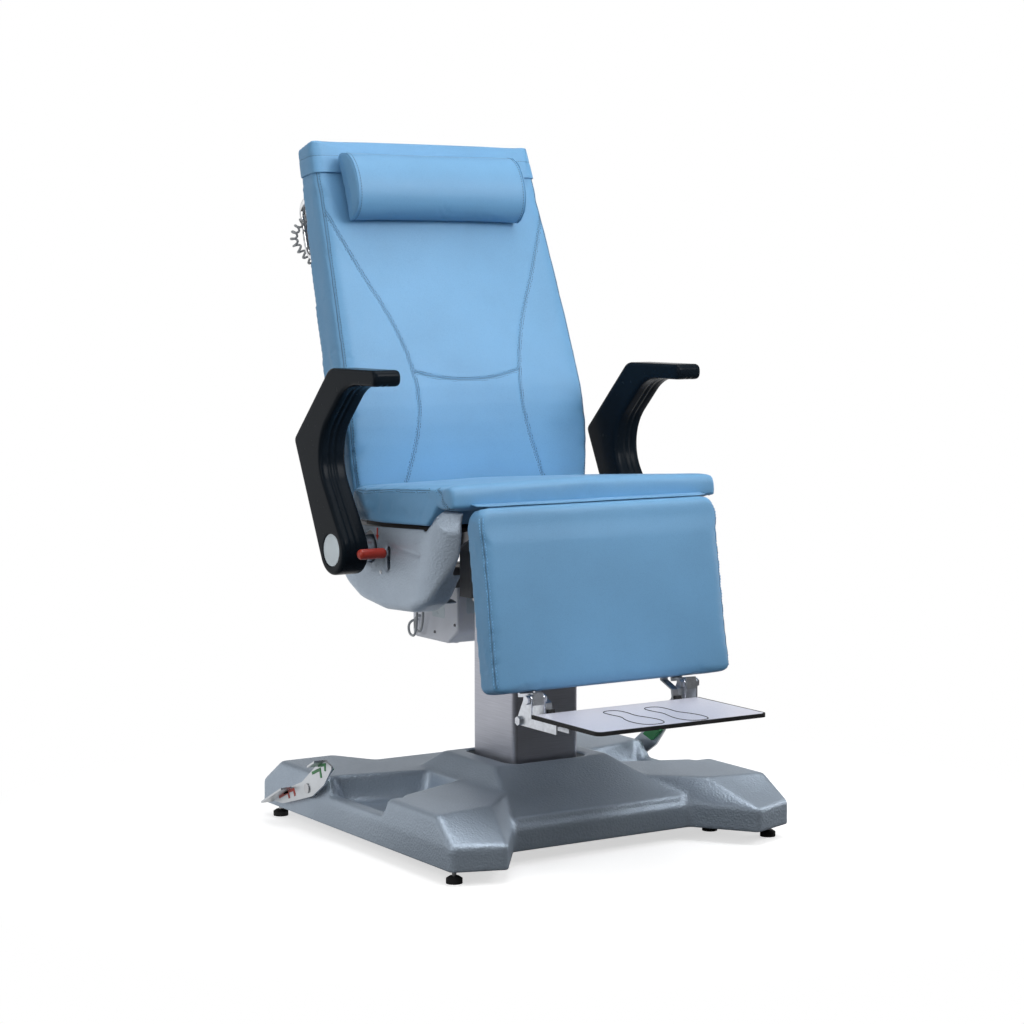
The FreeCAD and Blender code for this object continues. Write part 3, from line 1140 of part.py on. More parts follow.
EAR_OUTLINE = [
    ("fold_y - 2 * fold_bolt_radius", "fold_z + 2 * fold_bolt_radius"),
    ("fold_y - 2 * fold_bolt_radius", PLATE_Z[0]), ("bracket_front_y", PLATE_Z[0]),
    ("bracket_front_y", "bracket_bottom"), ("bracket_rear_y", "bracket_bottom"),
    ("bracket_rear_y", "bracket_bottom + 2 * fold_bolt_radius"),
    ("fold_y + 2 * fold_bolt_radius", "fold_z + 2 * fold_bolt_radius"),
]
FOLD_AT = ("fold_y", "fold_z")
LOW_AT = ("bracket_rear_y - 2 * fold_bolt_radius", "bracket_bottom + 1.6 * fold_bolt_radius")


def bracket():
    """A folded bracket: two ears and a floor under the plate."""
    ears = []
    for name, start in (("inner_ear", "ear_x - ear_thickness"), ("outer_ear", "ear_x + ear_gap")):
        ends = (start, f"{start} + ear_thickness")
        ear = prism(name, "YZ", EAR_OUTLINE, ends, [((0, 6), "1.8 * fold_bolt_radius")])
        ears.append(cut(name + "_drilled", ear, [
            rod(name + "_fold_hole", "x", FOLD_AT, ends, "fold_bolt_radius"),
            rod(name + "_low_hole", "x", LOW_AT, ends, "fold_bolt_radius")]))
    floor = block("bracket_floor", ("ear_x", "ear_x + ear_gap"), ("bracket_front_y", "fold_y - 3 * fold_bolt_radius"),
                  (f"{PLATE_Z[0]} - ear_thickness", PLATE_Z[0]))
    return fuse("bracket_folded", ears + [floor])


node("footplate_brackets", both_sides("bracket_pair", bracket()))


def cross_bolt(name, at):
    """A bolt through both ears, with a head outside and a nut inside."""
    low = "ear_x - ear_thickness"
    high = "ear_x + ear_gap + ear_thickness"
    shank = rod(name + "_shank", "x", at, (low, high), "fold_bolt_radius")
    nut = hexagon(name + "_nut", "x", at, (f"{low} - bolt_head_height", low), "bolt_head")
    head = hexagon(name + "_head", "x", at, (high, f"{high} + bolt_head_height"), "bolt_head")
    return fuse(name, [shank, nut, head])


bolts = [cross_bolt("fold_bolt", FOLD_AT), cross_bolt("low_bolt", LOW_AT)]
node("footplate_bolts", group("bolt_set", bolts + [mirror(b) for b in bolts]))

# Pedals: a leaf-shaped plate with a tread folded outwards along its upper edge
def pedal_at(y, z):
    """A place on the pedal, given from its pivot."""
    return f"pedal_pivot_y + ({y})", f"pedal_pivot_z + ({z})"


PEDAL_FRONT = [pedal_at(-102, 57), pedal_at(-70, 67)]
PEDAL_MIDDLE = [pedal_at(-41, 53), pedal_at(22, 9)]
PEDAL_REAR = [pedal_at(69, -9), pedal_at(155, -50)]
PEDAL_UNDER = [pedal_at(104, -48), pedal_at(40, -30), pedal_at(-20, -12), pedal_at(-68, 18)]
PEDAL_X = ("pedal_x", "pedal_x + pedal_plate")
TREAD_X = ("pedal_x", "pedal_x + tread_width")


def tread(name, corners):
    """A strip along two corners of the pedal, as thick as the plate."""
    (y1, z1), (y2, z2) = corners
    outline = [(y1, z1), (y2, z2), (y2, f"{z2} - pedal_plate"), (y1, f"{z1} - pedal_plate")]
    return prism(name, "YZ", outline, TREAD_X)


def pedal():
    leaf = prism("pedal_leaf", "YZ", PEDAL_FRONT + PEDAL_MIDDLE + PEDAL_REAR + PEDAL_UNDER, PEDAL_X,
                 [((0, 5), "pedal_plate"), ((6, 7, 8, 9), "pedal_bend")])
    front = tread("front_tread", [PEDAL_FRONT[1], PEDAL_MIDDLE[0]])
    rear = tread("rear_tread", [PEDAL_REAR[0], PEDAL_REAR[1]])
    whole = fuse("pedal_folded", [leaf, front, rear])
    return cut("pedal_drilled", whole, [
        rod("pedal_hole", "x", ("pedal_pivot_y", "pedal_pivot_z"), PEDAL_X, "pedal_axle_radius + shaft_clearance")])


right_pedal = pedal()
node("pedal_right", right_pedal)
node("pedal_left", mirror(right_pedal))
PAD_X = ("pedal_x - pedal_pad_thickness", "pedal_x")
front_pad = prism("green_pad", "YZ", [
    pedal_at(-92, 52), pedal_at(-70, 60),
    pedal_at(-44, 47), pedal_at(-30, 36),
    pedal_at(-62, 27)], PAD_X)
rear_pad = prism("red_pad", "YZ", [
    pedal_at(60, -12), pedal_at(130, -45),
    pedal_at(98, -44), pedal_at(50, -30)], PAD_X)
node("pedal_pad_up_right", front_pad)
node("pedal_pad_down_right", rear_pad)
node("pedal_pad_up_left", mirror(front_pad))
node("pedal_pad_down_left", mirror(rear_pad))

# Pedal axles on upright brackets inside the base cover
BRACKET_X = (f"{RAIL_OUT} - 3 * pedal_bracket_thickness", f"{RAIL_OUT} - 2 * pedal_bracket_thickness")
PEDAL_AT = ("pedal_pivot_y", "pedal_pivot_z")
upright_plate = block("pedal_bracket_plate", BRACKET_X,
                      ("pedal_pivot_y - pedal_bracket_half", "pedal_pivot_y + pedal_bracket_half"),
                      (FRAME_TOP, "pedal_bracket_top"))
pedal_bracket = cut("pedal_bracket_drilled", upright_plate, [
    rod("pedal_bracket_hole", "x", PEDAL_AT, BRACKET_X, "pedal_axle_radius")])
node("pedal_brackets", both_sides("pedal_bracket_pair", pedal_bracket))
pedal_axle = fuse("pedal_axle", [
    rod("pedal_axle_bar", "x", PEDAL_AT, (BRACKET_X[0], f"{PEDAL_X[1]} + pedal_gap"), "pedal_axle_radius"),
    rod("pedal_axle_cap", "x", PEDAL_AT, (f"{PEDAL_X[1]} + pedal_gap", f"{PEDAL_X[1]} + pedal_gap + pedal_plate / 2"),
        "1.6 * pedal_axle_radius"),
    rod("pedal_axle_collar", "x", PEDAL_AT, (BRACKET_X[1], "pedal_x - pedal_gap"), "pedal_collar")])
node("pedal_axles", both_sides("pedal_axle_pair", pedal_axle))


# Hand control in a cradle behind the back, its cord gland and its curly cord
PENDANT_FRONT = d.back_rear + d.cradle_wall + d.cradle_clearance


def hand_control():
    """A rounded box with a strain relief below."""
    corner = Vector(d.pendant_x - d.pendant_width / 2, PENDANT_FRONT, d.pendant_z)
    body = Part.makeBox(d.pendant_width, d.pendant_depth, d.pendant_length, corner)
    body = body.makeFillet(d.pendant_round, body.Edges)
    middle = PENDANT_FRONT + d.pendant_depth / 2
    top_radius = d.relief_radius
    relief = Part.makeCone(d.cord_radius * 1.4, top_radius, d.relief_length,
                           Vector(d.pendant_x, middle, d.pendant_z - d.relief_length))
    return body.fuse(relief)


PENDANT_X = ("pendant_x - pendant_width / 2 - cradle_clearance", "pendant_x + pendant_width / 2 + cradle_clearance")
CRADLE_REAR = "back_rear + cradle_wall + 2 * cradle_clearance + pendant_depth"
CRADLE_LOW = "pendant_z - cradle_wall"


def control_cradle():
    """An open-fronted pocket with a slot in its floor for the cord."""
    outer = block("cradle_block", (f"{PENDANT_X[0]} - cradle_wall", f"{PENDANT_X[1]} + cradle_wall"),
                  ("back_rear", f"{CRADLE_REAR} + cradle_wall"), (CRADLE_LOW, f"{CRADLE_LOW} + cradle_height"))
    room = block("cradle_room", PENDANT_X, ("back_rear + cradle_wall", CRADLE_REAR),
                 ("pendant_z", f"{CRADLE_LOW} + cradle_height"))
    window = block("cradle_window", ("pendant_x - pendant_width / 3", "pendant_x + pendant_width / 3"),
                   (CRADLE_REAR, f"{CRADLE_REAR} + cradle_wall"),
                   ("pendant_z + 4 * cradle_wall", f"{CRADLE_LOW} + cradle_height"))
    slot = block("cradle_slot", ("pendant_x - relief_radius - cradle_wall", "pendant_x + relief_radius + cradle_wall"),
                 ("back_rear + cradle_wall", f"{CRADLE_REAR} + cradle_wall"), (CRADLE_LOW, "pendant_z"))
    return cut("cradle_cut", outer, [room, window, slot])


node("hand_control", on_back(shaped("hand_control_form", hand_control())))
node("control_cradle", on_back(control_cradle()))
barrel = rod("gland_barrel", "y", ("gland_x", "gland_z"), ("back_rear", "back_rear + gland_length"),
             "gland_radius")
node("cord_gland", on_back(group("gland", [barrel])))


def cord_route():
    """The line of the cord: from the gland through the left handle, round its bar and down to the control."""
    start = Vector(d.gland_x, d.back_rear + d.gland_length, d.gland_z)
    end = Vector(d.pendant_x, PENDANT_FRONT + d.pendant_depth / 2, d.pendant_z - d.relief_length)
    bar = Vector(-d.handle_x, d.handle_standoff, d.gland_z)
    from_gland = [Vector(), Vector(0, 18, 0), Vector(-22, 20, 0)]
    round_bar = [Vector(-11, -30, -5), Vector(-27, -8, -15), Vector(-25, 28, -35), Vector(3, 38, -65),
                 Vector(49, 18, -125)]
    to_control = [Vector(-22, 22, -30), Vector(0, 0, -46), Vector(0, 0, -24), Vector()]
    poles = [start + p for p in from_gland] + [bar + p for p in round_bar] + [end + p for p in to_control]
    knots = list(range(len(poles) - 1))
    mults = [3] + [1] * (len(poles) - 3) + [3]
    route = Part.BSplineCurve()
    route.buildFromPolesMultsKnots(poles, mults, knots, False, 2)
    return route


def cord_frames(route, count):
    """Even stations along the route, each with a tangent and two cross directions that do not twist."""
    spots = route.discretize(Number=count)
    tangents = []
    for i in range(count):
        tangents.append((spots[min(i + 1, count - 1)] - spots[max(i - 1, 0)]).normalize())
    across = tangents[0].cross(Vector(1, 0, 0)).normalize()
    sides = []
    for tangent in tangents:
        across = (across - tangent * across.dot(tangent)).normalize()
        sides.append((across, tangent.cross(across)))
    return spots, tangents, sides


def biarc(start, start_way, end, end_way):
    """Two arcs that leave one point and reach another along given directions."""
    v = end - start
    both = start_way + end_way
    a = 2 * (1 - start_way.dot(end_way))
    b = 2 * v.dot(both)
    c = -v.dot(v)
    reach = -c / b if abs(a) < 1e-6 else (-b + math.sqrt(b * b - 4 * a * c)) / (2 * a)
    first = start + start_way * reach
    second = end - end_way * reach
    joint = (first + second) * 0.5
    return [arc_by_tangent(start, first, joint), arc_by_tangent(joint, second, end)]


def arc_by_tangent(start, corner, end):
    """An arc between two points whose end tangents meet at a corner; a line where they are in line."""
    chord_middle = (start + end) * 0.5
    rise = corner - chord_middle
    half_chord = (end - start).Length / 2
    if rise.Length < 1e-4 * half_chord:
        return Part.LineSegment(start, end).toShape()
    quarter = math.atan2(rise.Length, half_chord) / 2
    middle = chord_middle + rise.normalize() * half_chord * math.tan(quarter)
    return Part.Arc(start, middle, end).toShape()


def curly_cord():
    """One unbroken tube: straight ends, and curls round the route between them."""
    route = cord_route()
    count = 1600
    spots, tangents, sides = cord_frames(route, count)
    length = route.length()
    coil = length - 2 * d.cord_lead

    def place(distance):
        share = min(max(distance / length, 0), 1) * (count - 1)
        low = min(int(share), count - 2)
        part = share - low
        centre = spots[low] * (1 - part) + spots[low + 1] * part
        turn = (distance - d.cord_lead) / coil
        ramp = min(max(min(turn, 1 - turn) * d.curl_turns, 0), 1)
        radius = d.curl_radius * ramp * ramp * (3 - 2 * ramp)
        angle = math.tau * d.curl_turns * turn
        side, up = sides[low]
        return centre + side * (radius * math.cos(angle)) + up * (radius * math.sin(angle))

    def way(distance):
        return (place(distance + 0.05) - place(distance - 0.05)).normalize()

    halves = 2 * d.curl_turns
    stations = [d.cord_lead + coil * i / halves for i in range(int(halves) + 1)]
    straight = 2 * d.cord_radius
    first = spots[0] + tangents[0] * straight
    last = spots[-1] - tangents[-1] * straight
    points = [first] + [place(at) for at in stations] + [last]
    ways = [tangents[0]] + [way(at) for at in stations] + [tangents[-1]]
    edges = [Part.LineSegment(spots[0], first).toShape()]
    for i in range(len(points) - 1):
        edges += biarc(points[i], ways[i], points[i + 1], ways[i + 1])
    edges.append(Part.LineSegment(last, spots[-1]).toShape())
    line = Part.Wire(edges)
    profile = Part.Wire(Part.makeCircle(d.cord_radius, spots[0], tangents[0]))
    print("cord wire length", round(line.Length), "route", round(length), "least gap", round(self_gap(line), 2))
    return line.makePipeShell([profile], True, False)


def self_gap(line):
    """The least clear distance between different curls, measured on points of the line."""
    step = 1.2
    count = int(line.Length / step)
    points = line.discretize(Number=count)
    apart = int(math.pi * d.curl_radius / step)
    least = min(
        (points[i] - points[j]).Length
        for i in range(count) for j in range(i + apart, min(i + 5 * apart, count))
    )
    return least - 2 * d.cord_radius


node("curly_cord", on_back(shaped("curly_cord_form", curly_cord())))


# Drive cables: two thin cables loop out of the drive housing and up to the rear beam
def drive_cable(out, back, rise):
    """A loop that leaves the left wall, drops, turns forward and rises to the beam."""
    loop_y = d.drive_rear_y - back
    start = Vector(-d.drive_half, loop_y, d.drive_bottom_rear + d.cable_drop + rise)
    side = start + Vector(-out, 0, 0)
    down = Vector(0, 0, -d.cable_drop)
    ahead = Vector(0, -d.cable_ahead, 0)
    beam = d.cable_high - rise
    path = [start, side, side + down, side + down + ahead, Vector(side.x, side.y - d.cable_ahead, beam),
            Vector(side.x, d.beam_y + d.beam_width, beam)]
    bend = d.cable_bend
    line = Part.Wire(open_rounded(path, [0, bend / 2, bend, bend, bend, 0]))
    ring = Part.Wire(Part.makeCircle(d.cable_radius, start, Vector(-1, 0, 0)))
    return line.makePipeShell([ring], True, False)


cables = [
    drive_cable(d.cable_out, d.cable_back, d.cable_rise),
    drive_cable(d.cable_out - d.cable_step, d.cable_back + d.cable_step, d.cable_rise + d.cable_step),
]
node("drive_cables", shaped("drive_cable_pair", Part.makeCompound(cables)))
screw_x = ("drive_half", "drive_half + drive_screw_radius / 2")
screws = [
    rod("drive_screw", "x", (y, z), screw_x, "drive_screw_radius")
    for y, z in (("drive_front_y + drive_screw_inset", "drive_bottom_front + drive_screw_inset"),
                 ("drive_rear_y - drive_screw_inset", "drive_bottom_rear + 1.5 * drive_screw_inset"),
                 ("(drive_front_y + drive_rear_y) / 2", "drive_bottom_rear + 1.5 * drive_screw_inset"))
]
node("drive_screws", group("drive_screw_set", screws + [mirror(one) for one in screws]))


# Checks before anything is written
doc.recompute()
failed = [o.Label for o in doc.Objects if "Invalid" in o.State or "Error" in o.State]
failed += [label for label, o in nodes.items() if o.Shape.isNull() or not o.Shape.isValid()]
if failed:
    raise SystemExit("failed: " + ", ".join(failed))
os.makedirs("parts", exist_ok=True)
for label, thing in nodes.items():
    shape = thing.Shape.copy()
    shape.translate(Vector(0, d.column_y, 0))
    print(label, len(shape.Solids), round(shape.Volume))
    shape.exportStep(f"parts/{label}.step")
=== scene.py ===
"""The ear, nose and throat chair as it looks: fabric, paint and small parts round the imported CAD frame.

Metres. Places in millimetres are given as the CAD source gives them: from the column's axis, from the
back's hinge or from the legrest's hinge.
"""
import json
import math
import bmesh
import bpy
import numpy as np
from mathutils import Matrix, Vector
from mathutils.bvhtree import BVHTree
from mathutils.kdtree import KDTree


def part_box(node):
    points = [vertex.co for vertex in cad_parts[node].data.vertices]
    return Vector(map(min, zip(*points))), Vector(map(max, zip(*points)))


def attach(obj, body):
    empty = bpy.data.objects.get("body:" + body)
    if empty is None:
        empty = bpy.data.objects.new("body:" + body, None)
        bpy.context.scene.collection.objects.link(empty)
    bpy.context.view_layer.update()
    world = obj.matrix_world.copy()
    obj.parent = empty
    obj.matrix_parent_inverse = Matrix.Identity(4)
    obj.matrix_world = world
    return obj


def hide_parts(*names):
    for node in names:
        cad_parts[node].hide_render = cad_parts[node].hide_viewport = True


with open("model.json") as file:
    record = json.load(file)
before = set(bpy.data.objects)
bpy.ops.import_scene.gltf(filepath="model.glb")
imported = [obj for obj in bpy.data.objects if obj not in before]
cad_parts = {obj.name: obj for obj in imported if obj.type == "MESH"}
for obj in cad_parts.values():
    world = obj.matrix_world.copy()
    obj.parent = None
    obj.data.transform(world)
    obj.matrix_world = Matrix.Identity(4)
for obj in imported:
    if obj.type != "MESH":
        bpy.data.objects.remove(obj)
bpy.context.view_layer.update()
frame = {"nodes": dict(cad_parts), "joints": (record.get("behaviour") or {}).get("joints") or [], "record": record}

MM = 0.001
X = Vector((1, 0, 0))
Y = Vector((0, 1, 0))
Z = Vector((0, 0, 1))

# Frames that places are given in
JOINTS = {joint["name"]: joint for joint in frame["joints"]}
BACK_LEAN = 18
LEG_LEAN = 9.3


def column_frame():
    low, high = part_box("column_sleeve")
    return Matrix.Translation((0, (low.y + high.y) / 2, 0))


def hinge_frame(joint, lean):
    return Matrix.Translation(JOINTS[joint]["pos_m"]) @ Matrix.Rotation(-math.radians(lean), 4, "X")


CHAIR = column_frame()
BACK = hinge_frame("recline", BACK_LEAN)
LEG = hinge_frame("legrest_raise", LEG_LEAN)


def spot(place, x, y, z):
    """A point given in millimetres in one of the frames."""
    return place @ (Vector((x, y, z)) * MM)


def way(place, direction):
    """A direction of one of the frames, in the scene."""
    return place.to_3x3() @ direction


# Camera
FOCAL_PIXELS = 2471
FRAME_PIXELS = 1024
SENSOR = 36
CAMERA_YAW = math.radians(32.45)
CAMERA_PITCH = math.radians(5.2)
CAMERA_DISTANCE = 4.8
AIM_RIGHT = -0.0263
AIM_HEIGHT = 0.6219


def make_camera():
    data = bpy.data.cameras.new("camera")
    data.sensor_width = SENSOR
    data.lens = SENSOR * FOCAL_PIXELS / FRAME_PIXELS
    yaw, pitch = CAMERA_YAW, CAMERA_PITCH
    right = Vector((math.cos(yaw), -math.sin(yaw), 0))
    ahead = Vector((math.sin(yaw) * math.cos(pitch), math.cos(yaw) * math.cos(pitch), -math.sin(pitch)))
    up = right.cross(ahead)
    eye = CHAIR.translation + right * AIM_RIGHT + Z * AIM_HEIGHT - ahead * CAMERA_DISTANCE
    camera = bpy.data.objects.new("camera", data)
    bpy.context.scene.collection.objects.link(camera)
    camera.matrix_world = Matrix.Translation(eye) @ Matrix((right, up, -ahead)).transposed().to_4x4()
    bpy.context.scene.camera = camera


make_camera()


# Pieces, lines and meshes
def link(piece):
    bpy.context.scene.collection.objects.link(piece)
    return piece


def dress(piece, body, slot, replaced=(), surface=None):
    """Give a finished piece its material, its body and the CAD nodes that it stands for."""
    piece.data.materials.clear()
    piece.data.materials.append(surface or SURFACES[slot])
    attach(piece, body)
    if replaced:
        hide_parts(*replaced)


def mesh_piece(name, points, faces):
    mesh = bpy.data.meshes.new(name)
    mesh.from_pydata([tuple(p) for p in points], [], faces)
    mesh.shade_smooth()
    return link(bpy.data.objects.new(name, mesh))


def nurbs_curve(name, points, radius=0.0, closed=False):
    """A smooth curve through the neighbourhood of its control points, round where a radius is given."""
    data = bpy.data.curves.new(name, "CURVE")
    data.dimensions = "3D"
    spline = data.splines.new("NURBS")
    spline.points.add(len(points) - 1)
    for control, point in zip(spline.points, points):
        control.co = (*point, 1)
    spline.order_u = 3
    spline.use_endpoint_u = not closed
    spline.use_cyclic_u = closed
    spline.resolution_u = 6
    data.bevel_depth = radius
    data.bevel_resolution = 3
    data.use_fill_caps = True
    return link(bpy.data.objects.new(name, data))


def line_points(curve):
    """The points that Blender draws a bare curve with."""
    mesh = bpy.data.meshes.new_from_object(curve)
    points = [v.co.copy() for v in mesh.vertices]
    bpy.data.meshes.remove(mesh)
    return points


def smooth_run(points):
    """A smooth run of points near a few given ones."""
    curve = nurbs_curve("run", points)
    run = line_points(curve)
    bpy.data.objects.remove(curve)
    return run


def even(points, step):
    """The same line with points a step apart."""
    places = np.array(points)
    reach = np.concatenate([[0], np.cumsum(np.linalg.norm(np.diff(places, axis=0), axis=1))])
    count = max(int(reach[-1] / step), 2)
    stations = np.linspace(0, reach[-1], count + 1)
    return [Vector(p) for p in np.stack([np.interp(stations, reach, places[:, i]) for i in range(3)], axis=1)]


def run_length(points):
    return sum((b - a).length for a, b in zip(points, points[1:]))


def coordinates(mesh, kind="co"):
    flat = np.empty(len(mesh.vertices) * 3)
    mesh.vertices.foreach_get(kind, flat)
    return flat.reshape(-1, 3)


def normals(mesh):
    return coordinates(mesh, "normal")


def move_to(mesh, points):
    mesh.vertices.foreach_set("co", points.ravel())
    mesh.update()


def bake(piece):
    """Make what a piece's modifiers show its own mesh."""
    shown = piece.evaluated_get(bpy.context.evaluated_depsgraph_get())
    piece.data = bpy.data.meshes.new_from_object(shown)
    piece.modifiers.clear()


def thicken(piece, thickness, offset):
    wall = piece.modifiers.new("wall", "SOLIDIFY")
    wall.thickness = thickness
    wall.offset = offset
    bake(piece)
    piece.data.shade_smooth()


def remesh(piece, voxel):
    change = piece.modifiers.new("remesh", "REMESH")
    change.mode = "VOXEL"
    change.voxel_size = voxel
    bake(piece)
    piece.data.shade_smooth()


def neighbour_mean(mesh):
    """What gives each point of a mesh the mean of its neighbours' values."""
    ends = np.empty(len(mesh.edges) * 2, dtype=np.int64)
    mesh.edges.foreach_get("vertices", ends)
    first, second = ends.reshape(-1, 2).T
    links = np.bincount(ends, minlength=len(mesh.vertices))

    def mean(values):
        total = np.bincount(first, values[second], len(links)) + np.bincount(second, values[first], len(links))
        return total / links

    return mean


def relax(piece, passes, free=1.0):
    """Round a mesh off: each point moves half way to the middle of its neighbours, as far as it is free to."""
    points = coordinates(piece.data)
    mean = neighbour_mean(piece.data)
    share = 0.5 * np.broadcast_to(free, len(points))
    for _ in range(passes):
        for axis in range(3):
            points[:, axis] += share * (mean(points[:, axis]) - points[:, axis])
    move_to(piece.data, points)


HOLLOW_BLUR = 5
HOLLOW_LOW = 0.01 * MM
HOLLOW_HIGH = 0.06 * MM


def hollow_share(piece):
    """1 in the hollows of a mesh and 0 on its flats and crowns."""
    points = coordinates(piece.data)
    mean = neighbour_mean(piece.data)
    middle = np.stack([mean(points[:, axis]) for axis in range(3)], axis=1)
    depth = ((middle - points) * normals(piece.data)).sum(axis=1)
    for _ in range(HOLLOW_BLUR):
        depth = mean(depth)
    return ramp_between(depth, HOLLOW_LOW, HOLLOW_HIGH)


def ramp_between(values, low, high):
    """0 below low, 1 above high, and smooth between."""
    share = np.clip((values - low) / (high - low), 0, 1)
    return share * share * (3 - 2 * share)


def in_frame(place, points):
    """An array of points as one of the frames sees them, in millimetres."""
    turned = np.array(place.inverted())
    return (points @ turned[:3, :3].T + turned[:3, 3]) / MM


def copy_of(node, name):
    return link(bpy.data.objects.new(name, frame["nodes"][node].data.copy()))


CLOTH_FRAMES = 20
CLOTH_PRESSURE = 4
SINK = 0.25
NO_LENGTH = 1e-9


def swell(piece, shrink, cap, free=1.0):
    """Shrink a pad and blow it up by a cloth simulation; no point moves further than a cap or sinks far."""
    outward = normals(piece.data)
    share = np.broadcast_to(free, len(outward))[:, None]
    rest = coordinates(piece.data) - outward * shrink * share
    move_to(piece.data, rest)
    cloth = piece.modifiers.new("cloth", "CLOTH")
    cloth.settings.use_pressure = True
    cloth.settings.uniform_pressure_force = CLOTH_PRESSURE
    cloth.settings.effector_weights.gravity = 0
    scene = bpy.context.scene
    for number in range(1, CLOTH_FRAMES + 1):
        scene.frame_set(number)
    bake(piece)
    scene.frame_set(1)
    moved = coordinates(piece.data) - rest
    sunk = (moved * outward).sum(axis=1, keepdims=True) < 0
    moved *= np.where(sunk, SINK, 1)
    reach = np.linalg.norm(moved, axis=1, keepdims=True)
    move_to(piece.data, rest + moved * share * np.minimum(1, cap / np.maximum(reach, NO_LENGTH)))


def skin_of(piece):
    mesh = piece.data
    return BVHTree.FromPolygons([v.co for v in mesh.vertices], [tuple(p.vertices) for p in mesh.polygons])


FAR = 1.0
SEAM_STEP = 1.2 * MM
SEAM_REACH = 3
WAVE_LENGTH = 74 * MM


def seam_run(points):
    """A smooth line near a few points, as fine as seams are pressed."""
    return even(smooth_run(points), SEAM_STEP)


def drop(skin, points, toward):
    """Where points thrown along a direction land on a skin."""
    hits = [skin.ray_cast(point - toward * FAR, toward)[0] for point in points]
    return [hit for hit in hits if hit is not None]


def corner_line(skin, inside, first, second, near):
    """A smooth line on the edge between two faces, found from points inside along the faces' outward ways."""
    line = []
    between = (first + second).normalized()
    for point in inside:
        side = skin.ray_cast(point + first * FAR, -first)[0]
        if side is None:
            continue
        start = side - first * near
        front = skin.ray_cast(start + second * FAR, -second)[0]
        if front is None:
            continue
        hit = skin.ray_cast(front + first * near + between * FAR, -between)[0]
        if hit is not None:
            line.append(hit)
    return seam_run(line)


def slice_loop(piece, point, normal):
    """The longest closed line in which a plane cuts a piece."""
    work = bmesh.new()
    work.from_mesh(piece.data)
    cut = bmesh.ops.bisect_plane(work, geom=work.verts[:] + work.edges[:] + work.faces[:],
                                 plane_co=point, plane_no=normal)["geom_cut"]
    edges = dict.fromkeys(e for e in cut if isinstance(e, bmesh.types.BMEdge))
    loops = []
    while edges:
        run = list(edges.popitem()[0].verts)
        while True:
            following = next((e for e in run[-1].link_edges if e in edges), None)
            if following is None:
                break
            del edges[following]
            run.append(following.other_vert(run[-1]))
        loops.append([v.co.copy() for v in run])
    work.free()
    return max(loops, key=len)


def sew_in(piece, line, width, depth, snap, wave=0.0):
    """Press a seam into a pad: points near the line slide onto it and all sink along their normals."""
    tree = KDTree(len(line))
    for i, point in enumerate(line):
        tree.insert(point, i)
    tree.balance()
    points = coordinates(piece.data)
    outward = normals(piece.data)
    for i, place in enumerate(points):
        nearest, number, gap = tree.find(place)
        if gap > SEAM_REACH * width:
            continue
        if gap < snap:
            aside = np.array(nearest) - place
            points[i] += aside - outward[i] * aside.dot(outward[i])
            gap = 0
        pull = 1 + wave * math.sin(number * SEAM_STEP * math.tau / WAVE_LENGTH)
        points[i] -= outward[i] * depth * pull * math.exp(-(gap / width) ** 2)
    move_to(piece.data, points)


STITCH_PITCH = 5.6 * MM
STITCH_LENGTH = 4.0 * MM
STITCH_RADIUS = 0.65 * MM
STITCH_SIDES = 6
STITCH_RINGS = ((-0.5, 0.25), (-0.3, 0.9), (0.0, 1.0), (0.3, 0.9), (0.5, 0.25))


def stitches(name, skin, rows):
    """Thread stitches on a skin: each row is a line and how far beside it the stitches lie."""
    points, faces = [], []
    for line, aside in rows:
        run = even(line, STITCH_PITCH)
        for before, after in zip(run, run[1:]):
            along = (after - before).normalized()
            middle = (before + after) / 2
            centre, outward = skin.find_nearest(middle)[:2]
            across = outward.cross(along).normalized()
            centre, outward = skin.find_nearest(centre + across * aside)[:2]
            start = len(points)
            for reach, share in STITCH_RINGS:
                for k in range(STITCH_SIDES):
                    angle = math.tau * k / STITCH_SIDES
                    ring = across * math.cos(angle) + outward * math.sin(angle)
                    points.append(centre + along * (reach * STITCH_LENGTH) + ring * (STITCH_RADIUS * share))
            rings = len(STITCH_RINGS)
            for r in range(rings - 1):
                for k in range(STITCH_SIDES):
                    a = start + r * STITCH_SIDES + k
                    b = start + r * STITCH_SIDES + (k + 1) % STITCH_SIDES
                    faces.append((a, b, b + STITCH_SIDES, a + STITCH_SIDES))
            faces.append(tuple(start + k for k in reversed(range(STITCH_SIDES))))
            last = start + (rings - 1) * STITCH_SIDES
            faces.append(tuple(last + k for k in range(STITCH_SIDES)))
    return mesh_piece(name, points, faces)


def on_skin(skin, line, lift):
    """A line laid on a skin, raised a little."""
    laid = []
    for point in line:
        place, outward = skin.find_nearest(point)[:2]
        laid.append(place + outward * lift)
    return laid


def facing(origin, along, up, outward):
    """A frame on a face: along and up lie in it and outward leaves it."""
    return Matrix.Translation(origin) @ Matrix((along, up, outward)).transposed().to_4x4()


def as_piece(name, work):
    bmesh.ops.recalc_face_normals(work, faces=work.faces)
    mesh = bpy.data.meshes.new(name)
    work.to_mesh(mesh)
    work.free()
    return link(bpy.data.objects.new(name, mesh))


def plate(name, outline, place, thickness, bevel):
    """A thin plate: an outline in the frame's first two axes, raised along its third."""
    work = bmesh.new()
    face = work.faces.new([work.verts.new(Vector((u, v, 0)) * MM) for u, v in outline])
    raised = bmesh.ops.extrude_face_region(work, geom=[face])["geom"]
    top = {v for v in raised if isinstance(v, bmesh.types.BMVert)}
    bmesh.ops.translate(work, vec=Vector((0, 0, thickness * MM)), verts=list(top))
    rims = [e for e in work.edges if all(v in top for v in e.verts)]
    bmesh.ops.bevel(work, geom=rims, offset=bevel * MM, segments=2, affect="EDGES", profile=0.5)
    work.transform(place)
    return as_piece(name, work)


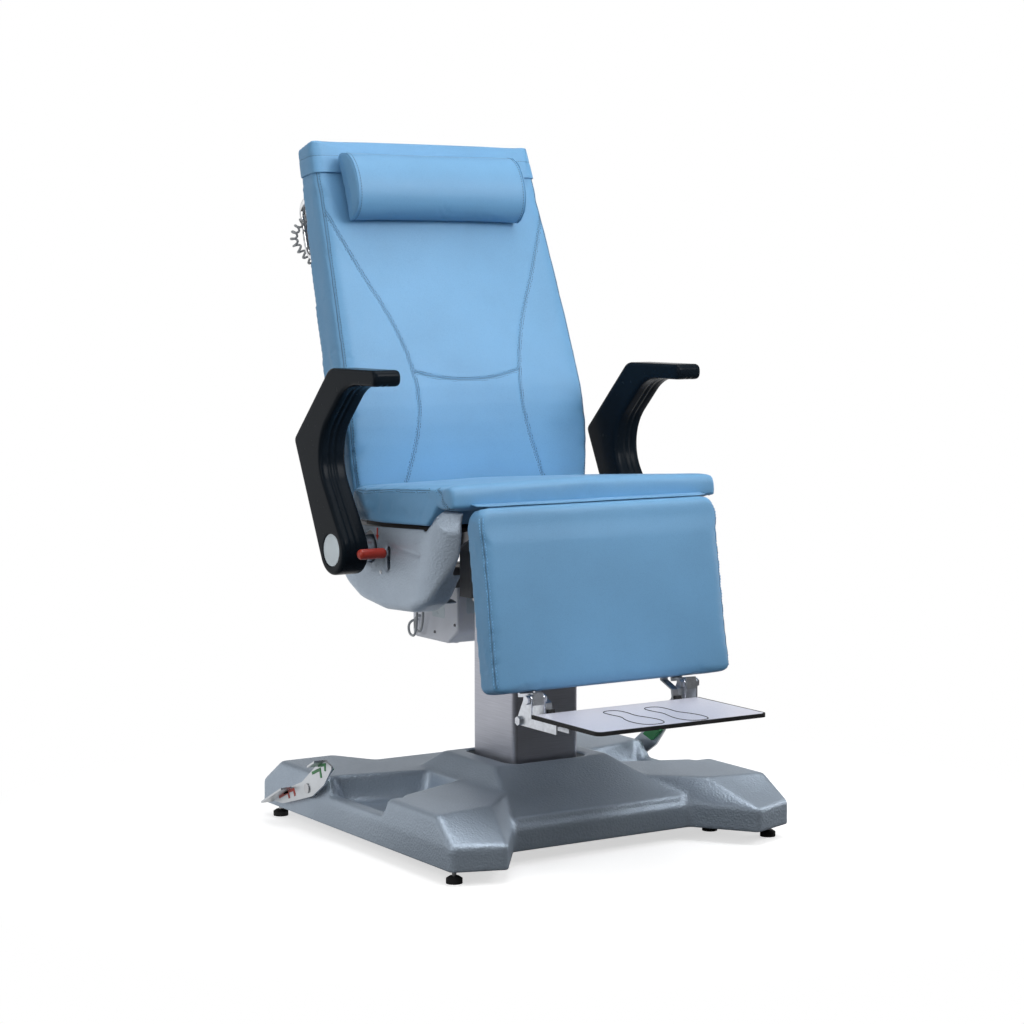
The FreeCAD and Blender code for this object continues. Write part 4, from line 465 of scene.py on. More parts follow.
def lathe(name, profile, place, sides):
    """A turned piece: radii and heights in millimetres round the frame's third axis."""
    work = bmesh.new()
    rings = []
    turns = [math.tau * k / sides for k in range(sides)]
    for radius, height in profile:
        ring = [Vector((radius * math.cos(a), radius * math.sin(a), height)) * MM for a in turns]
        rings.append([work.verts.new(point) for point in ring])
    for low, high in zip(rings, rings[1:]):
        for k in range(sides):
            work.faces.new((low[k - 1], low[k], high[k], high[k - 1]))
    work.faces.new(rings[-1])
    work.transform(place)
    piece = as_piece(name, work)
    piece.data.shade_smooth()
    return piece


def rounded_box(width, height, radius, steps=5):
    """The outline of a rectangle with round corners, about its middle."""
    outline = []
    for turn, (x, y) in enumerate(((1, 1), (-1, 1), (-1, -1), (1, -1))):
        for k in range(steps + 1):
            angle = math.pi / 2 * (turn + k / steps)
            outline.append((x * (width / 2 - radius) + radius * math.cos(angle),
                            y * (height / 2 - radius) + radius * math.sin(angle)))
    return outline


def bent_bar(points, width):
    """The outline of a flat bar along a run of points."""
    places = [Vector(p) for p in points]
    runs = [(b - a).normalized() for a, b in zip(places, places[1:])]
    left, right = [], []
    for place, before, after in zip(places, runs[:1] + runs, runs + runs[-1:]):
        along = (before + after).normalized()
        reach = width / 2 / along.dot(after)
        across = Vector((-along.y, along.x)) * reach
        left.append(place + across)
        right.append(place - across)
    return left + right[::-1]


# Materials
def put(tree, socket, value):
    if isinstance(value, bpy.types.NodeSocket):
        tree.links.new(value, socket)
    else:
        socket.default_value = value


def add_node(tree, kind, inputs=(), **settings):
    """A new node of a tree, with its sockets linked or set."""
    made = tree.nodes.new(kind)
    for key, value in settings.items():
        setattr(made, key, value)
    for key, value in dict(inputs).items():
        put(tree, made.inputs[key], value)
    return made


def smooth_step(tree, value, span, top=1.0):
    """0 before a span, top after it, and smooth between."""
    ends = {"Value": value, "From Min": span[0], "From Max": span[1], "To Max": top}
    return add_node(tree, "ShaderNodeMapRange", ends, interpolation_type="SMOOTHSTEP").outputs["Result"]


def mix_shaders(tree, share, first, second):
    return add_node(tree, "ShaderNodeMixShader", {0: share, 1: first, 2: second}).outputs[0]


class Surface:
    """A procedural material, built node by node round one Principled shader."""

    def __init__(self, name, **constants):
        self.material = bpy.data.materials.new(name)
        self.material.use_nodes = True
        self.tree = self.material.node_tree
        self.shader = self.tree.nodes["Principled BSDF"]
        self.place = self.node("ShaderNodeTexCoord").outputs["Object"]
        for word, value in constants.items():
            self.shader.inputs[word.replace("_", " ")].default_value = value

    def node(self, kind, inputs=(), **settings):
        return add_node(self.tree, kind, inputs, **settings)

    def put(self, socket, value):
        put(self.tree, socket, value)

    def stretched(self, stretch):
        return self.node("ShaderNodeVectorMath", {0: self.place, 1: stretch}, operation="MULTIPLY").outputs[0]

    def noise(self, scale, detail=2.0, stretch=None):
        place = self.stretched(stretch) if stretch else self.place
        return self.node("ShaderNodeTexNoise", {"Vector": place, "Scale": scale, "Detail": detail}).outputs["Fac"]

    def cells(self, scale):
        made = self.node("ShaderNodeTexVoronoi", {"Vector": self.place, "Scale": scale}, feature="SMOOTH_F1")
        return made.outputs["Distance"]

    def ramp(self, share, *stops):
        made = self.node("ShaderNodeValToRGB", {"Fac": share})
        for i, (at, colour) in enumerate(stops):
            stop = made.color_ramp.elements[i] if i < 2 else made.color_ramp.elements.new(at)
            stop.position = at
            stop.color = (*colour, 1)
        return made.outputs["Color"]

    def mottle(self, share, colour, low, high, start=0.3, end=0.7):
        """A colour that goes from one factor of it to another."""
        return self.ramp(share, (start, shade(colour, low)), (end, shade(colour, high)))

    def mix(self, share, first, second, kind="MIX"):
        made = self.node("ShaderNodeMix", data_type="RGBA", blend_type=kind)
        for index, value in ((0, share), (6, first), (7, second)):
            if isinstance(value, tuple):
                value = (*value, 1)
            self.put(made.inputs[index], value)
        return made.outputs[2]

    def span(self, share, low, high):
        return self.node("ShaderNodeMapRange", {"Value": share, "To Min": low, "To Max": high}).outputs["Result"]

    def sum(self, first, second, weight):
        return self.node("ShaderNodeMath", {0: second, 1: weight, 2: first}, operation="MULTIPLY_ADD").outputs[0]

    def edge_highlight_share(self, low, high):
        """A share that is 1 on sharp outer edges, where a lighter colour is painted on as an edge highlight."""
        point = self.node("ShaderNodeNewGeometry").outputs["Pointiness"]
        return self.node("ShaderNodeMapRange", {"Value": point, "From Min": low, "From Max": high}).outputs["Result"]

    def finish(self, colour, roughness, height, depth, strength):
        self.put(self.shader.inputs["Base Color"], colour)
        self.put(self.shader.inputs["Roughness"], roughness)
        bump = self.node("ShaderNodeBump", {"Height": height, "Distance": depth, "Strength": strength})
        self.put(self.shader.inputs["Normal"], bump.outputs["Normal"])
        return self.material


def shade(colour, factor):
    return tuple(c * factor for c in colour)


def leatherette(name, colour):
    """Coated fabric with a fine pebbled grain."""
    s = Surface(name, Specular_IOR_Level=0.42, Sheen_Weight=0.06)
    pebbles = s.cells(760)
    tint = s.mottle(s.noise(5, 3), colour, 0.93, 1.06)
    grain = s.ramp(pebbles, (0.25, (1, 1, 1)), (0.75, (0.88, 0.9, 0.92)))
    height = s.sum(pebbles, s.noise(2400), 0.35)
    base = s.mix(1.0, tint, grain, "MULTIPLY")
    return s.finish(base, s.span(s.noise(60), 0.4, 0.55), height, depth=0.0004, strength=0.3)


def hammered_paint(name, colour):
    """Silver paint with the orange-peel dimples of a hammered finish."""
    s = Surface(name, Metallic=0.65, Coat_Weight=0.1, Coat_Roughness=0.3)
    dimples = s.cells(260)
    flakes = s.mottle(s.noise(1800, 1), colour, 0.86, 1.12, 0.35, 0.65)
    clouds = s.ramp(s.noise(7, 3), (0.3, (0.92, 0.93, 0.94)), (0.7, (1.05, 1.05, 1.05)))
    base = s.mix(1.0, flakes, clouds, "MULTIPLY")
    # Lighter paint on sharp edges: painted edge highlight.
    edge_highlighted = s.mix(s.edge_highlight_share(0.53, 0.6), base, shade(colour, 1.35))
    height = s.sum(dimples, s.noise(900), 0.25)
    return s.finish(edge_highlighted, s.span(s.noise(90), 0.4, 0.56), height, depth=0.001, strength=0.6)


def moulded_plastic(name, colour, roughness, grain=1500.0, strength=0.12, gloss=0.5):
    """Plastic with the fine texture of a spark-eroded mould."""
    s = Surface(name, Specular_IOR_Level=gloss)
    speck = s.noise(grain, 2)
    tint = s.mottle(s.noise(12, 3), colour, 0.9, 1.1)
    # Lighter plastic on sharp edges: painted edge highlight.
    edge_highlighted = s.mix(s.edge_highlight_share(0.54, 0.62), tint, tuple(c * 1.15 + 0.01 for c in colour))
    rough = s.span(s.noise(70), roughness - 0.07, roughness + 0.08)
    return s.finish(edge_highlighted, rough, speck, depth=0.0003, strength=strength)


def brushed_metal(name, colour, roughness, stretch, streaks=0.1):
    """Metal with fine scratches along one axis."""
    s = Surface(name, Metallic=1.0)
    lines = s.noise(900, 2, stretch)
    tint = s.mottle(lines, colour, 1 - streaks, 1 + streaks)
    clouds = s.ramp(s.noise(9, 3), (0.3, (0.95, 0.95, 0.96)), (0.7, (1.03, 1.03, 1.03)))
    base = s.mix(1.0, tint, clouds, "MULTIPLY")
    return s.finish(base, s.span(lines, roughness - 0.06, roughness + 0.08), lines, depth=0.0002, strength=0.1)


def plated_metal(name, colour, roughness):
    """Zinc or chrome plate with faint clouding."""
    s = Surface(name, Metallic=1.0)
    clouds = s.noise(120, 4)
    tint = s.mottle(clouds, colour, 0.85, 1.08)
    rough = s.span(s.noise(300), roughness * 0.7, roughness * 1.4)
    return s.finish(tint, rough, s.noise(1500), depth=0.0001, strength=0.06)


def painted_steel(name, colour):
    s = Surface(name, Metallic=0.1)
    tint = s.mottle(s.noise(25, 3), colour, 0.8, 1.2)
    # Grey on the sharp edges of the black paint: painted edge highlight.
    edge_highlighted = s.mix(s.edge_highlight_share(0.54, 0.62), tint, (0.3, 0.3, 0.31))
    return s.finish(edge_highlighted, s.span(s.noise(80), 0.4, 0.58), s.noise(700), depth=0.0004, strength=0.15)


def black_rubber(name):
    s = Surface(name, Specular_IOR_Level=0.3)
    tint = s.ramp(s.noise(30, 3), (0.3, (0.012, 0.012, 0.012)), (0.7, (0.028, 0.028, 0.03)))
    return s.finish(tint, s.span(s.noise(90), 0.55, 0.75), s.noise(1200), depth=0.0004, strength=0.3)


def laminate(name, colour):
    """Pale laminate with a faint speckle."""
    s = Surface(name, Specular_IOR_Level=0.5)
    specks = s.ramp(s.noise(1300, 2), (0.38, shade(colour, 0.86)), (0.5, colour), (0.66, shade(colour, 1.08)))
    return s.finish(specks, s.span(s.noise(50), 0.26, 0.4), s.noise(900), depth=0.0002, strength=0.1)


def layered_wood(name, colour):
    """Plywood, with its layers seen from the edge."""
    s = Surface(name)
    layers = s.noise(60, 4, (1, 1, 12))
    tint = s.mottle(layers, colour, 0.7, 1.15, 0.35, 0.65)
    return s.finish(tint, s.span(layers, 0.55, 0.75), layers, depth=0.0005, strength=0.3)


BLUE = (0.15, 0.36, 0.6)
SILVER = (0.41, 0.485, 0.575)
SURFACES = {
    "upholstery": leatherette("blue_leatherette", BLUE),
    "silver_paint": hammered_paint("hammered_silver", SILVER),
    "frame_steel": painted_steel("black_frame_paint", (0.05, 0.05, 0.055)),
    "column_aluminium": brushed_metal("brushed_aluminium", (0.42, 0.43, 0.48), 0.36, (0.02, 0.02, 1)),
    "machined_steel": brushed_metal("machined_steel", (0.52, 0.53, 0.55), 0.3, (1, 0.05, 0.05)),
    "zinc": plated_metal("zinc_plate", (0.66, 0.69, 0.74), 0.32),
    "chrome": plated_metal("chrome_plate", (0.82, 0.83, 0.85), 0.1),
    "black_plastic": moulded_plastic("black_plastic", (0.007, 0.011, 0.016), 0.24, gloss=0.05),
    "grey_panel": moulded_plastic("grey_panel", (0.2, 0.21, 0.23), 0.5, 700.0, 0.25),
    "disc_plastic": moulded_plastic("pale_disc", (0.7, 0.8, 0.86), 0.3),
    "glide_plastic": moulded_plastic("glide_plastic", (0.8, 0.8, 0.77), 0.4),
    "black_rubber": black_rubber("black_rubber"),
    "plate_laminate": laminate("lilac_laminate", (0.66, 0.67, 0.77)),
    "pedal_steel": brushed_metal("pedal_steel", (0.6, 0.63, 0.66), 0.34, (1, 0.06, 0.06), 0.06),
    "red_plastic": moulded_plastic("red_plastic", (0.42, 0.035, 0.02), 0.32),
    "green_plastic": moulded_plastic("green_plastic", (0.015, 0.25, 0.06), 0.36),
    "drive_plastic": moulded_plastic("drive_plastic", (0.84, 0.87, 0.95), 0.42),
    "dark_screw": plated_metal("dark_screw", (0.1, 0.1, 0.11), 0.35),
    # The plywood's colour is near black: painted shade for the dark gaps under the cushions.
    "plywood": layered_wood("plywood", (0.06, 0.05, 0.045)),
    "grey_cable": moulded_plastic("grey_cable", (0.42, 0.44, 0.46), 0.3),
}
THREAD = leatherette("blue_thread", shade(BLUE, 0.3))
# The legrest's thread is a paler copy of the same thread: painted highlight where its stitches catch the light.
PAINTED_LIT_THREAD = leatherette("thread_painted_highlight", shade(BLUE, 1.4))
SEAM_DARK = leatherette("seam_shadow", shade(BLUE, 0.36))

for part in frame["record"]["subparts"]:
    shown = frame["nodes"][part["node"]]
    shown.data.materials.clear()
    shown.data.materials.append(SURFACES[part["material_slot"]])


# Curly cord: a helix round the route from the gland through the left handle to the hand control
CORD_ROUTE = [
    (-190, 4, 655), (-190, 22, 655), (-212, 24, 655), (-244, 20, 644), (-256, 42, 632), (-255, 71, 614),
    (-230, 81, 588), (-186, 66, 530), (-140, 27.5, 440), (-118, 5.5, 424), (-118, 5.5, 446), (-118, 5.5, 470),
]
CORD_RADIUS = 2.4 * MM
CURL_RADIUS = 6.2 * MM
CURL_TURNS = 24
CORD_LEAD = 26 * MM
POINTS_PER_TURN = 12
CORD_STEP = 0.5 * MM


def curly_cord():
    spots = even(smooth_run([spot(BACK, *p) for p in CORD_ROUTE]), CORD_STEP)
    step = run_length(spots) / (len(spots) - 1)
    coil = step * (len(spots) - 1) - 2 * CORD_LEAD
    across = (spots[1] - spots[0]).normalized().cross(X).normalized()
    sides = []
    for i in range(len(spots)):
        tangent = (spots[min(i + 1, len(spots) - 1)] - spots[max(i - 1, 0)]).normalized()
        across = (across - tangent * across.dot(tangent)).normalized()
        sides.append((across, tangent.cross(across)))
    swelled = CURL_RADIUS / math.cos(math.pi / POINTS_PER_TURN)
    points = [spots[0], spots[int(CORD_LEAD / 2 / step)]]
    for k in range(CURL_TURNS * POINTS_PER_TURN + 1):
        turn = k / (CURL_TURNS * POINTS_PER_TURN)
        at = min(int((CORD_LEAD + coil * turn) / step), len(spots) - 1)
        ramp = min(min(turn, 1 - turn) * CURL_TURNS, 1)
        radius = swelled * ramp * ramp * (3 - 2 * ramp)
        angle = math.tau * CURL_TURNS * turn
        side, up = sides[at]
        points.append(spots[at] + side * (radius * math.cos(angle)) + up * (radius * math.sin(angle)))
    points += [spots[-1 - int(CORD_LEAD / 2 / step)], spots[-1]]
    cord = nurbs_curve("curly_cord_line", points, CORD_RADIUS)
    dress(cord, "back", "grey_cable", ["curly_cord"])


curly_cord()


# Drive cables: two loops from the left wall of the drive to the beam
CABLE_ROUTES = [
    [(-86, 268, 388), (-108, 268, 388), (-108, 268, 358), (-108, 234, 358), (-108, 234, 488), (-108, 108, 488)],
    [(-86, 259, 397), (-99, 259, 397), (-99, 259, 367), (-99, 225, 367), (-99, 225, 479), (-99, 108, 479)],
]
CABLE_RADIUS = 2.6 * MM


def drive_cables():
    for number, route in enumerate(CABLE_ROUTES):
        points = [spot(CHAIR, *p) for p in route]
        line = smooth_run(points)
        cable = nurbs_curve(f"drive_cable_{number}", points, CABLE_RADIUS)
        dress(cable, "seat", "grey_cable", ["drive_cables"])
        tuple(line[0])
        run_length(line)


drive_cables()


# Moulded covers: the CAD solids with their edges and hollows rounded as a casting's are
RIM_FADE = 15


def moulded(piece, voxel, passes, hollow_passes, fixed_below):
    """Round a cover off; its rim keeps its place below a height."""
    remesh(piece, voxel)
    free = ramp_between(coordinates(piece.data)[:, 2] / MM, fixed_below, fixed_below + RIM_FADE)
    relax(piece, passes, free)
    relax(piece, hollow_passes, free * hollow_share(piece))


def base_cover():
    base = copy_of("base_cover", "base_cover_skin")
    moulded(base, 4 * MM, passes=4, hollow_passes=16, fixed_below=27)
    dress(base, "base", "silver_paint", ["base_cover"])


base_cover()

# Seat shell: an open throat, horns that lean in and back, a raised rim, and a crease and a dent in the left side
THROAT_HALF = 232
THROAT_FRONT = -260
THROAT_REAR = 60
THROAT_LOW = 420
THROAT_HIGH = 545
SHELL_VOXEL = 3.2 * MM
HORN_AHEAD = (92, 135)
HORN_ASIDE = (190, 235)
HORN_ROUNDING = 22
HORN_LEAN = 5
HORN_BACK = 15
RIM_LIFT = 12
RIM_SLOPE = 0.05
RIM_LEAST = 7
BESIDE_CHAIR = -400
SHELL_CREASE = ([(22, 567), (-20, 565.5), (-60, 563), (-84, 561)], 3.4 * MM, 2.4 * MM)
SHELL_DENT = ([(32, 542), (32, 566)], 9 * MM, 3.0 * MM)


def open_throat(shell):
    """Cut the front wall away between the two turned-in corners."""
    work = bmesh.new()
    bmesh.ops.create_cube(work, size=1)
    size = Vector((2 * THROAT_HALF, THROAT_REAR - THROAT_FRONT, THROAT_HIGH - THROAT_LOW)) * MM
    middle = spot(CHAIR, 0, (THROAT_FRONT + THROAT_REAR) / 2, (THROAT_LOW + THROAT_HIGH) / 2)
    work.transform(Matrix.Translation(middle) @ Matrix.Diagonal(size).to_4x4())
    cutter = as_piece("throat", work)
    change = shell.modifiers.new("throat", "BOOLEAN")
    change.operation = "DIFFERENCE"
    change.object = cutter
    bake(shell)
    bpy.data.objects.remove(cutter)


def seat_shell():
    shell = copy_of("seat_shell", "seat_shell_skin")
    remesh(shell, SHELL_VOXEL)
    open_throat(shell)
    moulded(shell, SHELL_VOXEL, passes=7, hollow_passes=12, fixed_below=0)
    x, y, z = in_frame(CHAIR, coordinates(shell.data)).T
    relax(shell, HORN_ROUNDING, ramp_between(z, 596, 622) * ramp_between(-y, 95, 122))
    points = coordinates(shell.data)
    x, y, z = in_frame(CHAIR, points).T
    horn = ramp_between(-y, *HORN_AHEAD) * ramp_between(abs(x), *HORN_ASIDE)
    points[:, 0] -= np.sign(x) * HORN_LEAN * MM * horn * ramp_between(z, 600, 655)
    points[:, 1] += HORN_BACK * MM * horn * ramp_between(z, 606, 640) * (1 - ramp_between(-y, 160, 205))
    rim = ramp_between(z, 572, 597) * ramp_between(abs(x), 250, 268) * ramp_between(y, -158, -122)
    points[:, 2] += np.maximum(RIM_LIFT - RIM_SLOPE * y, RIM_LEAST) * MM * rim
    move_to(shell.data, points)
    relax(shell, 3, horn * ramp_between(z, 585, 600))
    skin = skin_of(shell)
    for run, width, depth in (SHELL_CREASE, SHELL_DENT):
        line = seam_run([spot(CHAIR, BESIDE_CHAIR, y, z) for y, z in run])
        sew_in(shell, drop(skin, line, X), width, depth, 0)
    dress(shell, "seat", "silver_paint", ["seat_shell"])


seat_shell()

# Arms: the CAD form with two grooves along its hollow side, and a domed cover on each hub
ARM_MIDDLE = 343.5
ARM_GROOVES = (-3, 9)
ARM_HOLLOW = (20, 740)
ARM_HUB = (105, 559)
ARM_FACE = 369
ARM_VOXEL = 2.6 * MM
GROOVE_WIDTH = 2 * MM
GROOVE_DEPTH = 1.8 * MM
FACING_IN = 0.25
DISC_PROFILE = [(31, -0.5), (31, 1.6), (30.4, 2.4), (29.4, 2.6), (28.8, 2.1), (28, 2.0), (20, 2.5), (10, 2.8),
                (3, 2.9)]


def arm_skin(side, sign):
    arm = copy_of(f"arm_{side}", f"arm_{side}_skin")
    remesh(arm, ARM_VOXEL)
    relax(arm, 2)
    skin = skin_of(arm)
    for gap in ARM_GROOVES:
        middle = spot(CHAIR, sign * (ARM_MIDDLE + gap), *ARM_HOLLOW)
        line = []
        for point in even(slice_loop(arm, middle, X), SEAM_STEP):
            outward = skin.find_nearest(point)[1]
            if outward.dot((middle - point).normalized()) > FACING_IN:
                line.append(point)
        sew_in(arm, line, GROOVE_WIDTH, GROOVE_DEPTH, 0)
    dress(arm, f"arm_{side}", "black_plastic", [f"arm_{side}"])
    hub = facing(spot(CHAIR, sign * ARM_FACE, *ARM_HUB), Y * sign, Z, X * sign)
    disc = lathe(f"arm_disc_{side}_cover", DISC_PROFILE, hub, 64)
    dress(disc, f"arm_{side}", "disc_plastic", [f"arm_disc_{side}"])


arm_skin("left", -1)
arm_skin("right", 1)

# Small parts: pedal marks, foot marks, the lever's arrow, a shell screw, bare labels and control buttons
PEDAL_FACE = 392
GREEN_MARKS = ([(150, 124), (118, 137), (113, 121)], [(126, 143), (98, 149), (97, 137)])
RED_MARKS = ([(270, 64), (228, 79), (222, 67)], [(290, 53), (252, 69), (246, 58)])
MARK_WIDTH = 6
SOLE = [(2, -86), (24, -80), (32, -52), (27, -18), (15, 8), (20, 38), (18, 68), (0, 76), (-18, 68), (-20, 38),
        (-14, 8), (-22, -18), (-28, -52), (-18, -80)]
SOLE_PLACES = ((-46, -424), (40, -432))
PLATE_TOP = 286
ARROW = [(2.2, 24), (2.2, 10), (5.5, 10), (0, 0), (-5.5, 10), (-2.2, 10), (-2.2, 24)]
ARROW_PLACE = (-290, 71, 577)
SCREW_PLACE = (-290, 58, 517)
SCREW_PROFILE = [(4.2, -1), (4.2, 0.4), (3.6, 1.3), (2.2, 1.8), (1.3, 1.8), (1.1, 0.9)]
SIDE_LABEL = (-86, 187, 418)
FRONT_LABEL = (-48, 112, 440)
CONTROL_X = -118
CONTROL_FACE = 17.2
BUTTON_TOP = 606
BUTTON_PITCH = 24
BUTTON_ASIDE = 10


def pedal_marks():
    for side, sign in (("left", -1), ("right", 1)):
        face = facing(spot(CHAIR, sign * PEDAL_FACE, 0, 0), Y, Z, X * sign)
        for slot, marks in (("green_plastic", GREEN_MARKS), ("red_plastic", RED_MARKS)):
            for number, run in enumerate(marks):
                mark = plate(f"{slot}_mark_{side}_{number}", bent_bar(run, MARK_WIDTH), face, 0.8, 0.3)
                dress(mark, f"pedal_{side}", slot)


def foot_marks():
    for number, (x, y) in enumerate(SOLE_PLACES):
        points = [spot(CHAIR, x + (u if number else -u), y + v, PLATE_TOP) for u, v in SOLE]
        mark = nurbs_curve(f"sole_mark_{number}", points, 1.0 * MM, True)
        dress(mark, "footplate", "black_rubber")


def shell_marks():
    arrow = plate("lever_arrow", ARROW, facing(spot(CHAIR, *ARROW_PLACE), -Y, Z, -X), 0.5, 0.15)
    dress(arrow, "seat", "red_plastic")
    screw = lathe("shell_screw", SCREW_PROFILE, facing(spot(CHAIR, *SCREW_PLACE), -Y, Z, -X), 24)
    dress(screw, "seat", "zinc")


def drive_labels():
    left = facing(spot(CHAIR, *SIDE_LABEL), -Y, Z, -X)
    ahead = facing(spot(CHAIR, *FRONT_LABEL), X, Z, -Y)
    side = plate("drive_side_label", rounded_box(48, 34, 3), left, 0.4, 0.1)
    front = plate("drive_front_label", rounded_box(36, 50, 3), ahead, 0.4, 0.1)
    for label in (side, front):
        dress(label, "seat", "disc_plastic")


def control_buttons():
    for row in range(4):
        for column in (-1, 1):
            middle = spot(BACK, CONTROL_X + column * BUTTON_ASIDE, CONTROL_FACE, BUTTON_TOP - BUTTON_PITCH * row)
            face = facing(middle, way(BACK, -X), way(BACK, Z), way(BACK, Y))
            button = plate(f"control_button_{row}_{column + 1}", rounded_box(14, 15, 4), face, 2.0, 0.8)
            dress(button, "back", "grey_panel")


pedal_marks()
foot_marks()
shell_marks()
drive_labels()
control_buttons()


# Upholstery
def pad_copy(node, name):
    piece = copy_of(node, name)
    remesh(piece, PAD_VOXEL)
    relax(piece, 1)
    return piece


def finish_pad(piece, body, node):
    change = piece.modifiers.new("smooth", "SUBSURF")
    change.levels = 1
    change.render_levels = 1
    dress(piece, body, "upholstery", [node])


def seam_cord(name, skin, line, radius, lift, body, surface, closed=False):
    """A thin line of cord or shadow laid along a seam."""
    curve = nurbs_curve(name, on_skin(skin, even(line, CORD_PITCH), lift), radius, closed)
    dress(curve, body, "upholstery", surface=surface)


CORD_PITCH = 6 * MM
SEAM_WIDTH = 2.6 * MM
SEAM_DEPTH = 1.6 * MM
SEAM_SNAP = 2.4 * MM
STITCH_ASIDE = 3.8 * MM
PAD_VOXEL = 4.5 * MM
SEAM_LINE = 0.6 * MM
SEAM_LIFT = 0.1 * MM


def sew_thread(name, skin, rows, body, surface):
    dress(stitches(name, skin, rows), body, "upholstery", surface=surface)


def sew_pad(pad, body, lines, rows, surface, wave=0.0):
    """Press seams into a pad and lay stitches and shadow lines on it."""
    for line in lines:
        sew_in(pad, line, SEAM_WIDTH, SEAM_DEPTH, SEAM_SNAP, wave)
    skin = skin_of(pad)
    sew_thread(f"{body}_stitches", skin, rows, body, surface)
    for i, line in enumerate(lines):
        seam_cord(f"{body}_seam_{i}", skin, line, SEAM_LINE, SEAM_LIFT, body, SEAM_DARK)


def both_sides(line):
    return [(line, STITCH_ASIDE), (line, -STITCH_ASIDE)]


def side_edges(skin, inside, front, near):
    """The edges of a pad's front, right and left."""
    return [corner_line(skin, inside, X * sign, front, near) for sign in (1, -1)]


# Back pad: two curved seams, a sagging cross seam and a stitched edge down each side
SIDE_SEAM = [(255, 622), (209, 505), (162, 415), (133, 332), (122, 268), (121, 207), (133, 147), (152, 95), (163, 62)]
CROSS_SEAM = [(-123, 284), (-70, 269), (0, 264), (70, 269), (123, 284)]
BACK_EDGE_LOW = 45
BACK_EDGE_HIGH = 712
UNDER_HOOD = 685
BACK_WRAP = 16
BACK_REAR = (-42, -31)
BACK_FRONT = (30, 45)
BACK_EDGE_IN = 22 * MM
BACK_EDGE_ROW = 1.4


def back_pad():
    pad = pad_copy("back_cushion", "back_pad")
    local = in_frame(BACK, coordinates(pad.data))
    rear = way(BACK, Y) * (BACK_WRAP * MM)
    move_to(pad.data, coordinates(pad.data) + np.outer(ramp_between(local[:, 1], *BACK_REAR), rear))
    hooded = ramp_between(local[:, 2], UNDER_HOOD - 30, UNDER_HOOD + 5)
    free = ramp_between(-local[:, 1], *BACK_FRONT) * (1 - hooded)
    swell(pad, 1 * MM, 3.5 * MM, free)
    skin = skin_of(pad)
    ahead = way(BACK, Y)
    lines = []
    for sign in (1, -1):
        lines.append(drop(skin, seam_run([spot(BACK, sign * x, 0, z) for x, z in SIDE_SEAM]), ahead))
    lines.append(drop(skin, seam_run([spot(BACK, x, 0, z) for x, z in CROSS_SEAM]), ahead))
    inside = [spot(BACK, 0, -45, z) for z in np.linspace(BACK_EDGE_LOW, BACK_EDGE_HIGH, 26)]
    edges = side_edges(skin, inside, -ahead, BACK_EDGE_IN)
    rows = [row for line in lines for row in both_sides(line)]
    rows += [(edge, sign * STITCH_ASIDE * BACK_EDGE_ROW) for edge, sign in zip(edges, (1, -1))]
    sew_pad(pad, "back", lines + edges, rows, THREAD)
    finish_pad(pad, "back", "back_cushion")


back_pad()

# Headrest: a cap over the top of the back with a stitched hem, and a half-round roll with sewn ends
HOOD_HEM = 705
HEM_BAND = 36
HEM_TILT = math.radians(9)
HOOD_FRONT = -80
HOOD_VOXEL = 4 * MM
HOOD_WALL = 2.6 * MM
HOOD_SKIRT = 20 * MM


def headrest_hood():
    hood = copy_of("headrest_hood", "headrest_cap")
    work = bmesh.new()
    work.from_mesh(hood.data)
    low = way(BACK, -Z) * HOOD_SKIRT
    for vert in work.verts:
        if (BACK.inverted() @ vert.co).z < (HOOD_HEM + 5) * MM:
            vert.co += low
    hull = bmesh.ops.convex_hull(work, input=work.verts[:])
    loose = {g for g in hull["geom_interior"] + hull["geom_unused"] if isinstance(g, bmesh.types.BMVert)}
    bmesh.ops.delete(work, geom=list(loose), context="VERTS")
    kept = {f for f in hull["geom"] if isinstance(f, bmesh.types.BMFace)}
    bmesh.ops.delete(work, geom=[f for f in work.faces if f not in kept], context="FACES_ONLY")
    work.to_mesh(hood.data)
    work.free()
    remesh(hood, HOOD_VOXEL)
    relax(hood, 2)
    swell(hood, 0.5 * MM, 1.5 * MM)
    up = way(BACK, Vector((0, -math.sin(HEM_TILT), math.cos(HEM_TILT))))
    hem_line = slice_loop(hood, spot(BACK, 0, HOOD_FRONT, HOOD_HEM + HEM_BAND), up)
    sew_in(hood, even(hem_line, SEAM_STEP), SEAM_WIDTH, 0.8 * MM, SEAM_SNAP)
    sew_thread("hood_stitches", skin_of(hood), [(hem_line, 0)], "headrest", THREAD)
    work = bmesh.new()
    work.from_mesh(hood.data)
    bmesh.ops.bisect_plane(work, geom=work.verts[:] + work.edges[:] + work.faces[:],
                           plane_co=spot(BACK, 0, HOOD_FRONT, HOOD_HEM), plane_no=-up, clear_outer=True)
    work.to_mesh(hood.data)
    work.free()
    thicken(hood, HOOD_WALL, -1)
    finish_pad(hood, "headrest", "headrest_hood")


headrest_hood()

ROLL_MIDDLE = (-14, -110, 665)
ROLL_END_SEAM = 195
ROLL_STITCH = 189
ROLL_SIDES = 40
ROLL_FULLNESS = 0.8
WELT_RADIUS = 1.3 * MM
WELT_LIFT = 0.6 * MM


